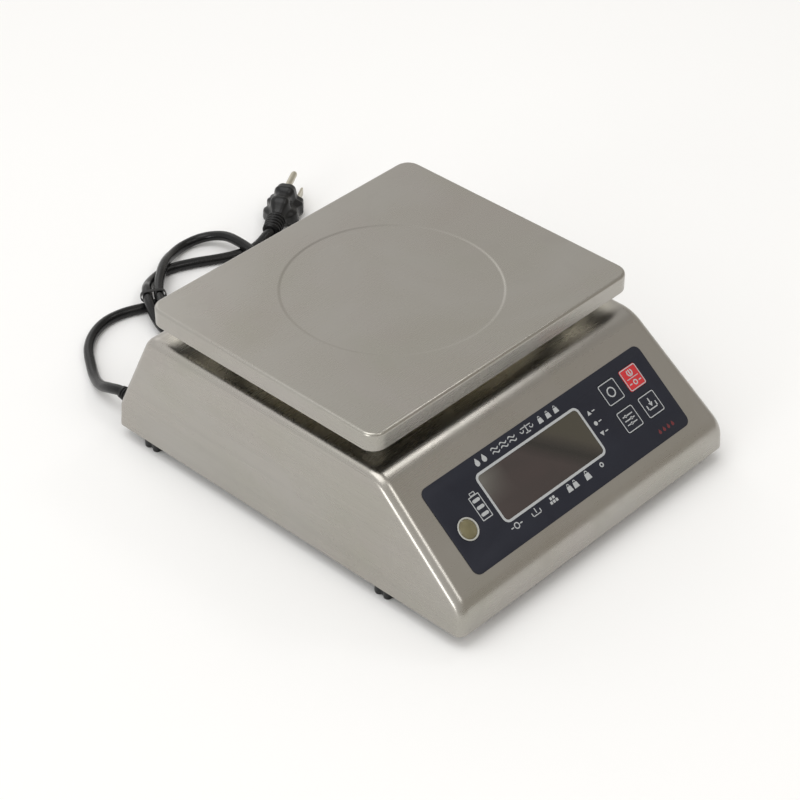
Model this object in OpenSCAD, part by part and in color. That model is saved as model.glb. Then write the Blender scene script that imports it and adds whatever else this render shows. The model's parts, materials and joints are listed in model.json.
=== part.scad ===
// Electronic bench scale: stainless housing with a sloping keypad panel, a lift-off
// weighing pan on a single load cell, levelling feet and a mains lead with its plug.
// Origin at the bottom centre of the scale, +X to its right, +Y to its rear, +Z up.

/* [Housing] */
// Width of the housing at its base
body_w = 246; // [240:1:250]
// Depth of the housing at its base
body_d = 294; // [290:1:298]
// Height of the flat top
top_z = 84.3; // [84:0.1:86]
// Height of the fold where the front panel starts
lip_z = 26.8; // [26:0.1:28]
// Height of the fold where the rear slope starts
rear_lip_z = 24.8; // [24.6:0.1:26]
// Distance that each side leans in between base and top
side_lean = 7.2; // [6:0.1:8]
// Width of the bevelled fold along each side
fold_w = 4.2; // [3:0.1:5]
// Thickness of the housing and pan sheet
sheet_t = 1.2; // [1:0.1:1.2]

/* [Pan] */
// Pan width
pan_w = 230; // [226:1:234]
// Pan depth
pan_d = 190; // [186:1:194]
// Height of the pan's top face above the table
pan_z = 110.3; // [110:0.1:112]
// Depth of the pan's skirt
skirt_h = 12.3; // [11:0.1:13]
// Corner radius of the pan
pan_r = 10; // [8:1:12]
// Radius of the round pressing in the pan
pressing_r = 69.2; // [66:0.1:72]

/* [Panel] */
// Overlay width
overlay_w = 197; // [195:1:199]
// Overlay height, measured up the slope
overlay_h = 59.3; // [58:0.1:60]
// Side of a square key
key_w = 15; // [14.8:0.1:15]

/* [Feet] */
// Radius over the knob's lobes
knob_r = 13; // [12:0.5:13]
// Height of the knob
knob_h = 8; // [7:0.5:8]

/* [Mains lead] */
// Cord diameter
cord_d = 7; // [6.8:0.1:7]

/* [Hidden] */
$fn = 48;

// Finishes
steel = [0.70, 0.69, 0.66];
navy = [0.16, 0.17, 0.22];
red = [0.80, 0.18, 0.20];
rubber_black = [0.09, 0.09, 0.10];
board_green = [0.10, 0.35, 0.18];

// Housing profile in the Y-Z plane, anticlockwise from the front bottom corner
base_z = 9.5;
slope_top_y = -75;
rear_top_y = 122;
front_y = -body_d / 2;
rear_y = body_d / 2;
bend_steps = 3;
lip_bend_r = 18;
front_bend_r = 26;
rear_bend_r = 12;
front_low = [front_y, base_z];
front_lip = [front_y, lip_z];
front_top = [slope_top_y, top_z];
rear_top = [rear_top_y, top_z];
rear_lip = [rear_y, rear_lip_z];
rear_low = [rear_y, base_z];
profile = concat([front_low, rear_low, rear_lip],
    bend(rear_lip, rear_top, front_top, rear_bend_r), bend(rear_top, front_top, front_lip, front_bend_r),
    bend(front_top, front_lip, front_low, lip_bend_r));
slope_a = atan2(top_z - lip_z, slope_top_y - front_y);
fold_inset = 3;

// Base plate, its gasket, and the tabs and screws that hold it: each tab is [x, y, turn]
base_t = 1.5;
floor_z = base_z + base_t;
clear_gap = 0.4;
base_corner_r = 7;
gasket_t = 1;
gasket_w = 4.5;
tab_size = [15, 16, 1.5];
tab_lip = 0.9;
tab_in = 9;
tab_boss_r = 3.5;
screw_r = 1.5;
screw_head_r = 3;
screw_l = 6.5;
side_tabs = [-122, 20, 80];
front_tabs = [-60, 60];
rear_tabs = [-20, 80];
tab_spots = concat(
    [for (x = [-1, 1], y = side_tabs) [x * (body_w / 2 - sheet_t - tab_in), y, x < 0 ? 180 : 0]],
    [for (x = front_tabs) [x, front_y + sheet_t + tab_in, 270]],
    [for (x = rear_tabs) [x, rear_y - sheet_t - tab_in, 90]]);

// Pan and platform
pan_y = 23.2;
pan_bottom = pan_z - skirt_h;
pressing_depth = 0.4;
post_x = 80;
post_y = 62;
post_r = 6;
collar_r = 11;
collar_h = 4;
post_top = 104;
pad_r = 7;
pad_top = pan_z - sheet_t - pressing_depth - 0.1;

// Load cell, its supports and the spider that it carries
cell_w = 30;
cell_l = 130;
cell_h = 22;
cell_z = 28;
cell_front = pan_y - cell_l / 2;
cell_back = pan_y + cell_l / 2;
bolt_r = 3;
bolt_in = 6;
bolt_step = 15;
bolt_head_r = 5;
bolt_in_cell = 12;
base_bolt_y = [for (k = [0, 1]) cell_back - bolt_in - k * bolt_step];
top_bolt_y = [for (k = [0, 1]) cell_front + bolt_in + k * bolt_step];
block_l = 28;
eye_r = 7;
eye_y = 10;
eye_slot = 5;
stiffener_t = 3;
spider_z = 62;
spider_t = 6;
rib_h = 4;
bar_w = 16;
stop_x = 60;
stop_gap = 0.7;
stop_sleeve_h = 36;
stop_sleeve_r = 4.6;
stop_pin_r = 2.5;
cap_r = 17;
cap_bottom = 86.5;
cap_top = 97;
cap_wall = 1.2;
socket_depth = 3.5;

// Panel layout: [x, distance up the slope from the lip fold]
overlay_at = [0.5, 42.65];
overlay_t = 0.5;
window_at = [-14.25, 44.85];
window_size = [90.5, 32.7];
level_at = [-84.6, 38.6];
level_r = 6.2;
key_col = [60.7, 81.2];
key_row = [36.5, 56.5];
key_proud = 0.6;
key_under = 1.8;
key_board_n = 4;
dome_h = 1.2;
digits_n = 9.6;

// Feet
foot_x = 108;
foot_y = [-81, 120];
stud_r = 4;
stud_top = 28;
stud_bottom = 2.5;
stud_run = 0.08;
nut_r = 7.5;
nut_h = 6.5;
lobes = 9;
lobe_r = 2.7;
lobe_dip = 2.2;

// Electronics inside the housing
board_at = [-67, 20];
board_size = [74, 94];
board_z = floor_z + 7;
board_t = 1.6;
board_top = board_z + board_t;
battery_at = [61, 23.5];
battery_size = [70, 101];
battery_top = floor_z + 47;
terminal = 5;
strap_t = 1.2;
strap_w = 12;
strap_foot = 8;
trafo_at = [-66, 112];
trafo_z = floor_z + 1.5;
core_size = [48, 26, 40];
core_flange = 62;
core_window = [8, 24];
coil_d = 36;

// Mains lead: gland, route of the free lengths, and the hank that holds the rest
relief_x = -107;
relief_z = 18;
relief_end = rear_y + 13;
gland_r = 5;
gland_nut = [5.9, 5];
gland_in = 9;
flange_r = 6.5;
cord_r = cord_d / 2;
lead_route = [[-107, 160, 18], [-107, 171, 15], [-104, 185, 8.5], [-98, 198, 4.5],
    [-90, 211, 3.5], [-79, 226, 3.5], [-66, 236, 3.5], [-51, 241, 3.5], [-37, 240, 3.5],
    [-24, 235, 3.5], [-12, 228.5, 3.5], [0, 223.5, 3.5], [13, 222, 3.5]];
tail_route = [[52, 176.9, 3.5], [36, 172.5, 6.5], [20, 168, 10], [4, 167.5, 10.5],
    [-10, 173, 10.5], [-19, 185, 10.5], [-22, 199, 10.5], [-20, 214, 10.5], [-14, 227, 10.5],
    [-5, 238, 10.5], [6, 248, 10.5], [18, 257.5, 9], [32, 265.5, 5.5], [47, 269.5, 4],
    [61, 265.5, 5.5], [69, 253, 9], [70, 239, 10.5], [69, 223, 10.5], [67, 206, 10.5],
    [63, 190, 11], [54, 175, 11.2], [41, 164, 11], [25, 158, 10.5], [8, 157.5, 10.5],
    [-9, 161, 10.5], [-23, 171, 10.5], [-31, 185, 9], [-33, 199, 6.5], [-29.5, 213, 7.5],
    [-23, 227, 10], [-15, 239, 10.5], [-5, 249, 6.5], [8, 255.5, 3.5], [22, 255.5, 3.5],
    [36, 250, 3.5], [50, 242, 3.5], [64, 234.5, 4], [78, 229.5, 6], [94.5, 231, 10]];
tube_sides = 10;
hank_at = [55, 187];
hank_run = 84;
hank_turns = 3;
hank_inner_r = 21;
hank_outer_r = hank_inner_r + (hank_turns - 0.5) * cord_d;
hank_waist = 27.5;
tie_t = 0.6;
tie_w = 3;
tie_at = [-14.5, 233, 10.4];
tie_span = 16.8;
tie_turn = -33;

// Plug, laid on the table with its earth pin uppermost
plug_at = [98, 233];
plug_turn = 30;
plug_face = 41;
plug_half_w = 13.5;
plug_h = 24;
plug_axis_z = 10;
pin_pitch = 11.9;
blade_gap = 12.7;
earth_z = 18.6;

// ---- Helpers -------------------------------------------------------------

// Half width of the housing at height z
function half_w(z) = body_w / 2 - side_lean * (z - base_z) / (top_z - base_z);

// Inward normal of the edge from a to b on an anticlockwise outline
function edge_normal(a, b) = let(d = b - a) [-d[1], d[0]] / norm(d);

// Points round a bend of radius r at b, coming from a and going on to c
function bend(a, b, c, r) = let(u = unit(a - b), v = unit(c - b), half = acos(u * v) / 2,
    centre = b + unit(u + v) * r / sin(half), first = b + u * r / tan(half) - centre,
    last = b + v * r / tan(half) - centre)
    [for (k = [0 : bend_steps]) centre + r * unit(first * (bend_steps - k) + last * k)];

// An outline moved inwards by e
function inset(p, e) = let(n = len(p)) [for (i = [0 : n - 1])
    let(n1 = edge_normal(p[(i + n - 1) % n], p[i]), n2 = edge_normal(p[i], p[(i + 1) % n]))
    p[i] + e * (n1 + n2) / (1 + n1 * n2)];

// The same outline with its bottom edge put at height z
function with_bottom(p, z) = [for (i = [0 : len(p) - 1]) i < 2 ? [p[i][0], z] : p[i]];

// Points of an outline on both sides of the housing, a distance in from the leaning side
function both_sides(p, in) = [for (side = [-1, 1], q = p)
    [side * (half_w(q[1]) - in), q[0], q[1]]];

// Solid block with the housing's outer form, moved in by t and starting at height bottom
module housing_form(t, bottom) {
    core = with_bottom(inset(profile, t), bottom);
    side = with_bottom(inset(profile, t + fold_inset), bottom);
    points = concat(both_sides(core, t + fold_w), both_sides(side, t));
    hull() polyhedron(points = points, faces = [[for (i = [0 : len(points) - 1]) i]]);
}

// Places children on the front slope: x across, y up the slope, z outwards
module on_slope() {
    translate([0, front_y, lip_z]) rotate([slope_a, 0, 0]) children();
}

// Rectangle with round corners
module round_rect(size, r) {
    square([size[0] - 2 * r, size[1]], center = true);
    square([size[0], size[1] - 2 * r], center = true);
    for (x = [-1, 1], y = [-1, 1])
        translate([x * (size[0] / 2 - r), y * (size[1] / 2 - r)]) circle(r);
}

// Plate with round corners whose underside is at height z
module round_plate(size, r, z, t) {
    translate([0, 0, z]) linear_extrude(t) round_rect(size, r);
}

// Box centred on x and y, between two heights
module slab(x, y, w, d, z0, z1) {
    translate([x - w / 2, y - d / 2, z0]) cube([w, d, z1 - z0]);
}

// Upright cylinder between two heights
module rod(x, y, r, z0, z1) {
    translate([x, y, z0]) cylinder(r = r, h = z1 - z0);
}

// Runs children at each of the four posts
module at_posts() {
    for (x = [-1, 1], y = [-1, 1]) translate([x * post_x, pan_y + y * post_y, 0]) children();
}

// Runs children at each of the four keys, on the slope
module at_keys() {
    for (x = key_col, s = key_row) translate([x, s, 0]) children();
}

function unit(v) = v / norm(v);
function heading(p, i) = unit(p[min(i + 1, len(p) - 1)] - p[max(i - 1, 0)]);

// Ring of points around point i of a route, flat at its top and bottom
function ring(p, i, r) = let(t = heading(p, i), s = unit(cross(t, [0, 0, 1])), u = cross(s, t))
    [for (k = [0 : tube_sides - 1]) let(a = 360 * k / tube_sides)
        p[i] + r / cos(180 / tube_sides) * (cos(a) * s + sin(a) * u)];

// Round tube swept along a route
module tube(p, d) {
    n = tube_sides;
    last = (len(p) - 1) * n;
    points = [for (i = [0 : len(p) - 1]) each ring(p, i, d / 2)];
    walls = [for (i = [0 : len(p) - 2], k = [0 : n - 1]) let(a = i * n + k, b = i * n + (k + 1) % n)
        [a, b, b + n, a + n]];
    start_cap = [[for (k = [n - 1 : -1 : 0]) k]];
    end_cap = [[for (k = [0 : n - 1]) last + k]];
    polyhedron(points = points, faces = concat(start_cap, walls, end_cap), convexity = 10);
}

// ---- Housing and base ----------------------------------------------------

module housing_shell() color(steel) difference() {
    union() {
        housing_form(0, base_z);
        at_posts() rod(0, 0, collar_r + sheet_t, top_z - 1, top_z + collar_h);
    }
    housing_form(sheet_t, base_z - 5);
    at_posts() rod(0, 0, collar_r, top_z - 5, top_z + collar_h + 1);
    on_slope() {
        translate([window_at[0], window_at[1], -3]) linear_extrude(6)
            square(window_size - [4, 4], center = true);
        translate([level_at[0], level_at[1], -3]) cylinder(r = 6.9, h = 6);
        at_keys() translate([0, 0, -3]) linear_extrude(6) square(key_w + 1, center = true);
    }
    translate([relief_x, rear_y + 2, relief_z]) rotate([90, 0, 0]) cylinder(r = gland_r + 0.1, h = 6);
}

module shell_tabs() color(steel) for (t = tab_spots)
    translate([t[0], t[1], floor_z + gasket_t]) rotate(t[2]) difference() {
        union() {
            translate([tab_lip - tab_size[0] / 2, -tab_size[1] / 2, 0]) cube(tab_size);
            cylinder(r = tab_boss_r, h = screw_l - tab_size[2]);
        }
        translate([0, 0, -1]) cylinder(r = screw_r, h = screw_l + 2);
    }

module base_plate() color(steel) difference() {
    round_plate([body_w, body_d] - 2 * [1, 1] * (sheet_t + clear_gap), base_corner_r, base_z,
        base_t);
    for (x = [-1, 1], y = foot_y) rod(x * foot_x, y, stud_r + 0.5, base_z - 1, floor_z + 1);
    for (y = base_bolt_y) rod(0, y, bolt_r, base_z - 1, floor_z + 1);
    for (t = tab_spots) rod(t[0], t[1], screw_head_r, base_z - 1, floor_z + 1);
}

module base_gasket() color(rubber_black) difference() {
    round_plate([body_w - 4, body_d - 4], base_corner_r, floor_z, gasket_t);
    round_plate([body_w - 4, body_d - 4] - 2 * [1, 1] * gasket_w, base_corner_r - gasket_w,
        floor_z - 1, gasket_t + 2);
}

module base_screws() color(steel) for (t = tab_spots) {
    rod(t[0], t[1], screw_head_r, base_z, floor_z);
    rod(t[0], t[1], screw_r, floor_z, floor_z + screw_l);
}

module base_stiffener() color(steel) difference() {
    slab(0, 70, 48, 60, floor_z, floor_z + stiffener_t);
    for (y = base_bolt_y) rod(0, y, bolt_r, floor_z - 1, floor_z + stiffener_t + 1);
}

module foot_nuts() color(steel) for (x = [-1, 1], y = foot_y) difference() {
    translate([x * foot_x, y, floor_z]) cylinder(r = nut_r, h = nut_h, $fn = 6);
    rod(x * foot_x, y, stud_r + stud_run, floor_z - 1, floor_z + nut_h + 1);
}

// ---- Front panel ---------------------------------------------------------

module panel_overlay() color(navy) on_slope() difference() {
    translate([overlay_at[0], overlay_at[1], 0]) linear_extrude(overlay_t)
        round_rect([overlay_w, overlay_h], 5);
    translate([window_at[0], window_at[1], -1]) linear_extrude(3) round_rect(window_size, 3.5);
    translate([level_at[0], level_at[1], -1]) cylinder(r = 6.8, h = 3);
    at_keys() translate([0, 0, -1]) linear_extrude(3) round_rect([key_w + 0.4, key_w + 0.4], 1.7);
}

module display_window() color([0.25, 0.23, 0.21]) on_slope()
    translate([window_at[0], window_at[1], 0]) linear_extrude(overlay_t)
        round_rect(window_size - [0.1, 0.1], 3.4);

module display_digits() color([0.12, 0.11, 0.11]) on_slope()
    slab(window_at[0], window_at[1], 86, 26, -digits_n, -1.8);

module display_board() color(board_green) on_slope()
    slab(window_at[0], 46, 104, 42, -digits_n - 1.6, -digits_n);

module keypad_board() color(board_green) on_slope()
    slab(70.95, 46.5, 48, 45, -key_board_n - 1.6, -key_board_n);

module key_domes() color(steel) on_slope() at_keys()
    translate([0, 0, -key_board_n]) cylinder(r1 = 5, r2 = 3, h = dome_h);

module panel_standoffs() color(steel) on_slope() {
    for (x = [-1, 1], s = [-1, 1]) {
        rod(window_at[0] + x * 48, 46 + s * 17.5, 2.4, -digits_n, -sheet_t);
        rod(70.95 + x * 21, 46.5 + s * 19.5, 1.7, -key_board_n, -sheet_t);
    }
}

module level_cup() color([0.85, 0.86, 0.84]) on_slope()
    translate([level_at[0], level_at[1], 0]) difference() {
        union() {
            translate([0, 0, -9]) cylinder(r = level_r + 0.5, h = 10);
            translate([0, 0, overlay_t]) cylinder(r = level_r + 1, h = 0.7);
        }
        translate([0, 0, -8]) cylinder(r = level_r, h = 10);
    }

module level_vial() color([0.60, 0.58, 0.25]) on_slope()
    translate([level_at[0], level_at[1], -8]) difference() {
        cylinder(r = level_r - 0.05, h = 8.9);
        translate([0, 0, 6.2]) cylinder(r = 2.3, h = 1.2);
    }

module level_bubble() color([0.85, 0.86, 0.70]) on_slope()
    translate([level_at[0], level_at[1], -1.75]) cylinder(r = 2.25, h = 1.1);

module key(col, row, tint) color(tint) on_slope() translate([key_col[col], key_row[row], 0]) {
    translate([0, 0, -key_under]) linear_extrude(key_under + key_proud)
        round_rect([key_w, key_w], 1.5);
    translate([0, 0, -key_under - 0.5]) cylinder(r = 2.5, h = 0.5);
}
module key_set() key(0, 0, navy);
module key_off() key(0, 1, navy);
module key_tare() key(1, 0, navy);
module key_on_zero() key(1, 1, red);

// ---- Load cell and what it stands on -------------------------------------

module load_cell() color([0.78, 0.79, 0.80]) difference() {
    slab(0, pan_y, cell_w, cell_l, cell_z, cell_z + cell_h);
    for (y = [-1, 1]) translate([-cell_w, pan_y + y * eye_y, cell_z + cell_h / 2])
        rotate([0, 90, 0]) cylinder(r = eye_r, h = 2 * cell_w);
    translate([0, pan_y, cell_z + cell_h / 2]) cube([2 * cell_w, 2 * eye_y, eye_slot], center = true);
    for (y = base_bolt_y) rod(0, y, bolt_r, cell_z - 1, cell_z + bolt_in_cell);
    for (y = top_bolt_y) rod(0, y, bolt_r + clear_gap, cell_z + 9, cell_z + cell_h + 1);
}

module cell_riser() color(steel) difference() {
    slab(0, cell_back - block_l / 2, cell_w, block_l, floor_z + stiffener_t, cell_z);
    for (y = base_bolt_y) rod(0, y, bolt_r, floor_z, cell_z + 1);
}

module cell_base_bolts() color(steel) for (y = base_bolt_y) {
    rod(0, y, bolt_r, base_z, cell_z + bolt_in_cell);
    rod(0, y, bolt_head_r, base_z - 5, base_z);
}

module stop_screws() color(steel) for (x = [-1, 1], y = [-1, 1]) {
    translate([x * stop_x, pan_y + y * post_y, floor_z]) cylinder(r = stop_sleeve_r,
        h = stop_sleeve_h, $fn = 6);
    rod(x * stop_x, pan_y + y * post_y, stop_pin_r, floor_z + stop_sleeve_h,
        spider_z - rib_h - stop_gap);
}

module cell_top_spacer() color([0.78, 0.79, 0.80]) difference() {
    slab(0, cell_front + block_l / 2, cell_w, block_l, cell_z + cell_h, spider_z);
    for (y = top_bolt_y) rod(0, y, bolt_r, cell_z + cell_h - 1, spider_z + 1);
}

module cell_top_bolts() color(steel) for (y = top_bolt_y) {
    rod(0, y, bolt_r, cell_z + bolt_in_cell - 1, spider_z + spider_t);
    rod(0, y, bolt_head_r, spider_z + spider_t, spider_z + spider_t + 6);
}

// ---- Weighing platform ---------------------------------------------------

module platform_spider() color([0.74, 0.75, 0.76]) difference() {
    union() {
        slab(0, pan_y, 34, 2 * post_y + bar_w, spider_z, spider_z + spider_t);
        for (y = [-1, 1]) {
            slab(0, pan_y + y * post_y, 2 * post_x + bar_w, bar_w, spider_z, spider_z + spider_t);
            for (x = [-1, 1]) slab(x * (post_x / 2 + 10), pan_y + y * post_y, post_x - 12, 4,
                spider_z - rib_h, spider_z);
        }
    }
    for (y = top_bolt_y) rod(0, y, bolt_r, spider_z - 1, spider_z + spider_t + 1);
}

module pan_posts() color(steel) at_posts() rod(0, 0, post_r, spider_z + spider_t, post_top);

// Umbrella that sheds water past the collar of the post hole
module drip_caps() color(rubber_black) at_posts() rotate_extrude()
    polygon([[post_r, 92.5], [post_r, cap_top], [8.5, cap_top], [cap_r, 91],
        [cap_r, cap_bottom], [cap_r - cap_wall, cap_bottom], [cap_r - cap_wall, 90.3], [8, 92.5]]);

module post_pads() color(rubber_black) at_posts() rod(0, 0, pad_r, post_top, pad_top);

module pan() color(steel) translate([0, pan_y, 0]) {
    difference() {
        round_plate([pan_w, pan_d], pan_r, pan_bottom, skirt_h);
        round_plate([pan_w - 2 * sheet_t, pan_d - 2 * sheet_t], pan_r - sheet_t,
            pan_bottom - 1, skirt_h - sheet_t + 1);
        rod(0, 0, pressing_r, pan_z - pressing_depth, pan_z + 1);
    }
    rod(0, 0, pressing_r + 1, pan_z - sheet_t - pressing_depth, pan_z - sheet_t);
}

// Cups under the pan that sit over the post pads
module pan_sockets() color(steel) at_posts() difference() {
    rod(0, 0, pad_r + 2, pad_top - socket_depth, pan_z - sheet_t);
    rod(0, 0, pad_r + 0.6, pad_top - socket_depth - 1, pan_z);
}

// ---- Electronics ---------------------------------------------------------

module main_board() color(board_green)
    slab(board_at[0], board_at[1], board_size[0], board_size[1], board_z, board_top);

module main_board_parts() color([0.15, 0.15, 0.16]) {
    slab(-62, 30, 22, 22, board_top, board_top + 2.4);
    slab(-95, 52, 12, 26, board_top, board_top + 12);
    slab(-45, 4, 10, 22, board_top, board_top + 8);
    slab(-70, -20, 30, 8, board_top, board_top + 8);
    for (y = [0, 14]) rod(-92, y, 5.5, board_top, board_top + 18);
    slab(-72, 54, 16, 14, board_top, board_top + 15);
}

module board_standoffs() color(steel) for (x = [-1, 1], y = [-1, 1])
    rod(board_at[0] + x * (board_size[0] / 2 - 4), board_at[1] + y * (board_size[1] / 2 - 4), 3,
        floor_z, board_z);

module battery() color([0.20, 0.21, 0.23]) {
    slab(battery_at[0], battery_at[1], battery_size[0], battery_size[1], floor_z, battery_top);
    for (x = [-20, 20]) slab(battery_at[0] + x, battery_at[1] - battery_size[1] / 2 - terminal / 2,
        terminal, terminal, 44, 50);
}

module battery_strap() color(steel) {
    half = battery_size[0] / 2;
    slab(battery_at[0], battery_at[1], battery_size[0] + 2 * strap_t, strap_w, battery_top,
        battery_top + strap_t);
    for (x = [-1, 1]) {
        slab(battery_at[0] + x * (half + strap_t / 2), battery_at[1], strap_t, strap_w, floor_z,
            battery_top);
        slab(battery_at[0] + x * (half + strap_t + strap_foot / 2), battery_at[1], strap_foot,
            strap_w, floor_z, floor_z + strap_t);
    }
}

module transformer_core() color([0.35, 0.34, 0.33]) {
    difference() {
        slab(trafo_at[0], trafo_at[1], core_size[0], core_size[1], trafo_z, trafo_z + core_size[2]);
        for (x = [-1, 1]) slab(trafo_at[0] + x * core_size[0] / 4, trafo_at[1], core_window[0], 40,
            trafo_z + 8, trafo_z + 8 + core_window[1]);
    }
    slab(trafo_at[0], trafo_at[1], core_flange, core_size[1], floor_z, trafo_z);
}

module transformer_coil() color([0.75, 0.62, 0.25]) difference() {
    slab(trafo_at[0], trafo_at[1], 31.4, coil_d, trafo_z + 8.3, trafo_z + 31.7);
    slab(trafo_at[0], trafo_at[1], 16.2, core_size[1] + 0.2, trafo_z, trafo_z + core_size[2]);
}

module wiring() color([0.55, 0.12, 0.12]) {
    tube([[-15.2, 6, 44], [-22, 5, 42], [-29, 4, 36], [-36, 3, 31], [-42, 2, 29.5]], 4);
    tube([[-30, -102, 43], [-33, -92, 36], [-42, -78, 31], [-58, -66, 30], [-71, -52, 31],
        [-75, -38, 31], [-74, -24, 29.5]], 4);
    tube([[40, -32.2, 47], [30, -40, 42], [12, -50, 36], [-10, -52, 32], [-30, -44, 30],
        [-45, -30, 29], [-58, -22, 29.5]], 3);
}

module supply_lead() color([0.30, 0.30, 0.32])
    tube([[relief_x, rear_y - gland_in, relief_z], [-104, 133, 19], [-96, 134, 22], [-86, 134, 26],
        [-79, 132, 29], [-74, 130.2, 31]], 5);

// ---- Mains lead ----------------------------------------------------------

module strain_relief() color(rubber_black) translate([relief_x, 0, relief_z])
    rotate([-90, 0, 0]) rotate_extrude() polygon([[0, rear_y - gland_in],
        [gland_r, rear_y - gland_in], [gland_r, rear_y], [flange_r, rear_y],
        [flange_r, rear_y + 2.5], [5.6, rear_y + 3], [5.2, rear_y + 6], [4.6, rear_y + 6.5],
        [5, rear_y + 7.2], [4.5, rear_y + 10], [4.3, relief_end], [0, relief_end]]);

module relief_nut() color(rubber_black) translate([relief_x, rear_y - sheet_t, relief_z])
    rotate([90, 0, 0]) difference() {
        cylinder(r = gland_nut[0], h = gland_nut[1]);
        translate([0, 0, -1]) cylinder(r = gland_r, h = gland_nut[1] + 2);
    }

module cord_lead() color(rubber_black) tube(lead_route, cord_d);
module cord_tail() color(rubber_black) tube(tail_route, cord_d);

module cord_hank() color(rubber_black) translate([hank_at[0], hank_at[1], 0]) {
    for (x = [-1, 1]) translate([x * hank_run / 2, 0, 0]) cylinder(r = hank_outer_r, h = cord_d);
    slab(0, 0, hank_run, 2 * hank_outer_r, 0, cord_d);
}

// Flat band around a bundle: width and height are those of the bundle
module band(width, height) {
    rotate([90, 0, 0]) translate([0, 0, -tie_w / 2]) linear_extrude(tie_w) difference() {
        round_rect([width + 2 * tie_t, height + 2 * tie_t], height / 2);
        round_rect([width, height], height / 2 - tie_t);
    }
}

module cord_ties() color([0.10, 0.10, 0.11]) {
    translate(tie_at) rotate(tie_turn) band(tie_span, cord_d + 0.6);
    translate([hank_at[0], hank_at[1], cord_r + 0.3]) rotate(90)
        band(2 * hank_waist, cord_d - 0.6);
}

// Places children in the plug's frame: x towards the pins, y across, z up from the table
module at_plug() {
    translate([plug_at[0], plug_at[1], 0]) rotate(plug_turn) children();
}

module plug_body() color(rubber_black) at_plug() {
    translate([plug_face - 21, 0, 0]) rotate([90, 0, 90]) linear_extrude(21)
        polygon([[-10, 0], [10, 0], [plug_half_w, 3], [plug_half_w, 13], [6, plug_h],
            [-6, plug_h], [-plug_half_w, 13], [-plug_half_w, 3]]);
    hull() {
        translate([plug_face - 21, 0, 0]) rotate([90, 0, 90]) linear_extrude(0.1)
            polygon([[-9, 1], [9, 1], [12, 4], [12, 12], [5, 22], [-5, 22], [-12, 12], [-12, 4]]);
        translate([13, 0, plug_axis_z]) rotate([0, 90, 0]) cylinder(r = 7, h = 0.1, $fn = 32);
    }
    translate([-4, 0, plug_axis_z]) rotate([0, 90, 0]) cylinder(r = 5, h = 17.1);
    for (k = [0 : 4]) translate([-1 + 3 * k, 0, plug_axis_z]) rotate([0, 90, 0])
        cylinder(r = 5.6 + 0.25 * k, h = 1.8);
}

module plug_blades() color([0.72, 0.70, 0.62]) at_plug() for (y = [-1, 1])
    translate([plug_face, y * blade_gap / 2 - 0.75, earth_z - pin_pitch - 3.2])
        cube([17.5, 1.5, 6.4]);

module plug_earth_pin() color([0.72, 0.70, 0.62]) at_plug()
    translate([plug_face, 0, earth_z]) rotate([0, 90, 0]) {
        cylinder(r = 2.4, h = 18.5);
        translate([0, 0, 18.5]) cylinder(r1 = 2.4, r2 = 1.2, h = 2);
    }

// ---- Feet ----------------------------------------------------------------

module foot_knob(x, y) color(rubber_black) translate([x * foot_x, y, 0]) difference() {
    union() {
        cylinder(r = knob_r - lobe_dip, h = knob_h);
        for (k = [0 : lobes - 1]) rotate(k * 360 / lobes) translate([knob_r - lobe_r, 0, 0])
            cylinder(r = lobe_r, h = knob_h);
    }
    translate([0, 0, stud_bottom]) cylinder(r = stud_r, h = knob_h);
}
module foot_knob_fl() foot_knob(-1, foot_y[0]);
module foot_knob_fr() foot_knob(1, foot_y[0]);
module foot_knob_rl() foot_knob(-1, foot_y[1]);
module foot_knob_rr() foot_knob(1, foot_y[1]);

module foot_stud(x, y) color(steel) rod(x * foot_x, y, stud_r, stud_bottom, stud_top);
module foot_stud_fl() foot_stud(-1, foot_y[0]);
module foot_stud_fr() foot_stud(1, foot_y[0]);
module foot_stud_rl() foot_stud(-1, foot_y[1]);
module foot_stud_rr() foot_stud(1, foot_y[1]);

housing_shell();
shell_tabs();
base_plate();
base_gasket();
base_screws();
base_stiffener();
foot_nuts();
panel_overlay();
display_window();
display_digits();
display_board();
keypad_board();
key_domes();
panel_standoffs();
level_cup();
level_vial();
level_bubble();
load_cell();
cell_riser();
cell_base_bolts();
stop_screws();
main_board();
main_board_parts();
board_standoffs();
battery();
battery_strap();
transformer_core();
transformer_coil();
wiring();
supply_lead();
strain_relief();
relief_nut();
cord_lead();
cord_hank();
cord_tail();
cord_ties();
plug_body();
plug_blades();
plug_earth_pin();
cell_top_spacer();
cell_top_bolts();
platform_spider();
pan_posts();
drip_caps();
post_pads();
pan();
pan_sockets();
key_on_zero();
key_off();
key_set();
key_tare();
foot_knob_fl();
foot_knob_fr();
foot_knob_rl();
foot_knob_rr();
foot_stud_fl();
foot_stud_fr();
foot_stud_rl();
foot_stud_rr();
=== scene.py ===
"""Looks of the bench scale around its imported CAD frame. Every length is in metres."""
import json
import math

import bmesh
import bpy
from mathutils import Matrix, Vector


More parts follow.
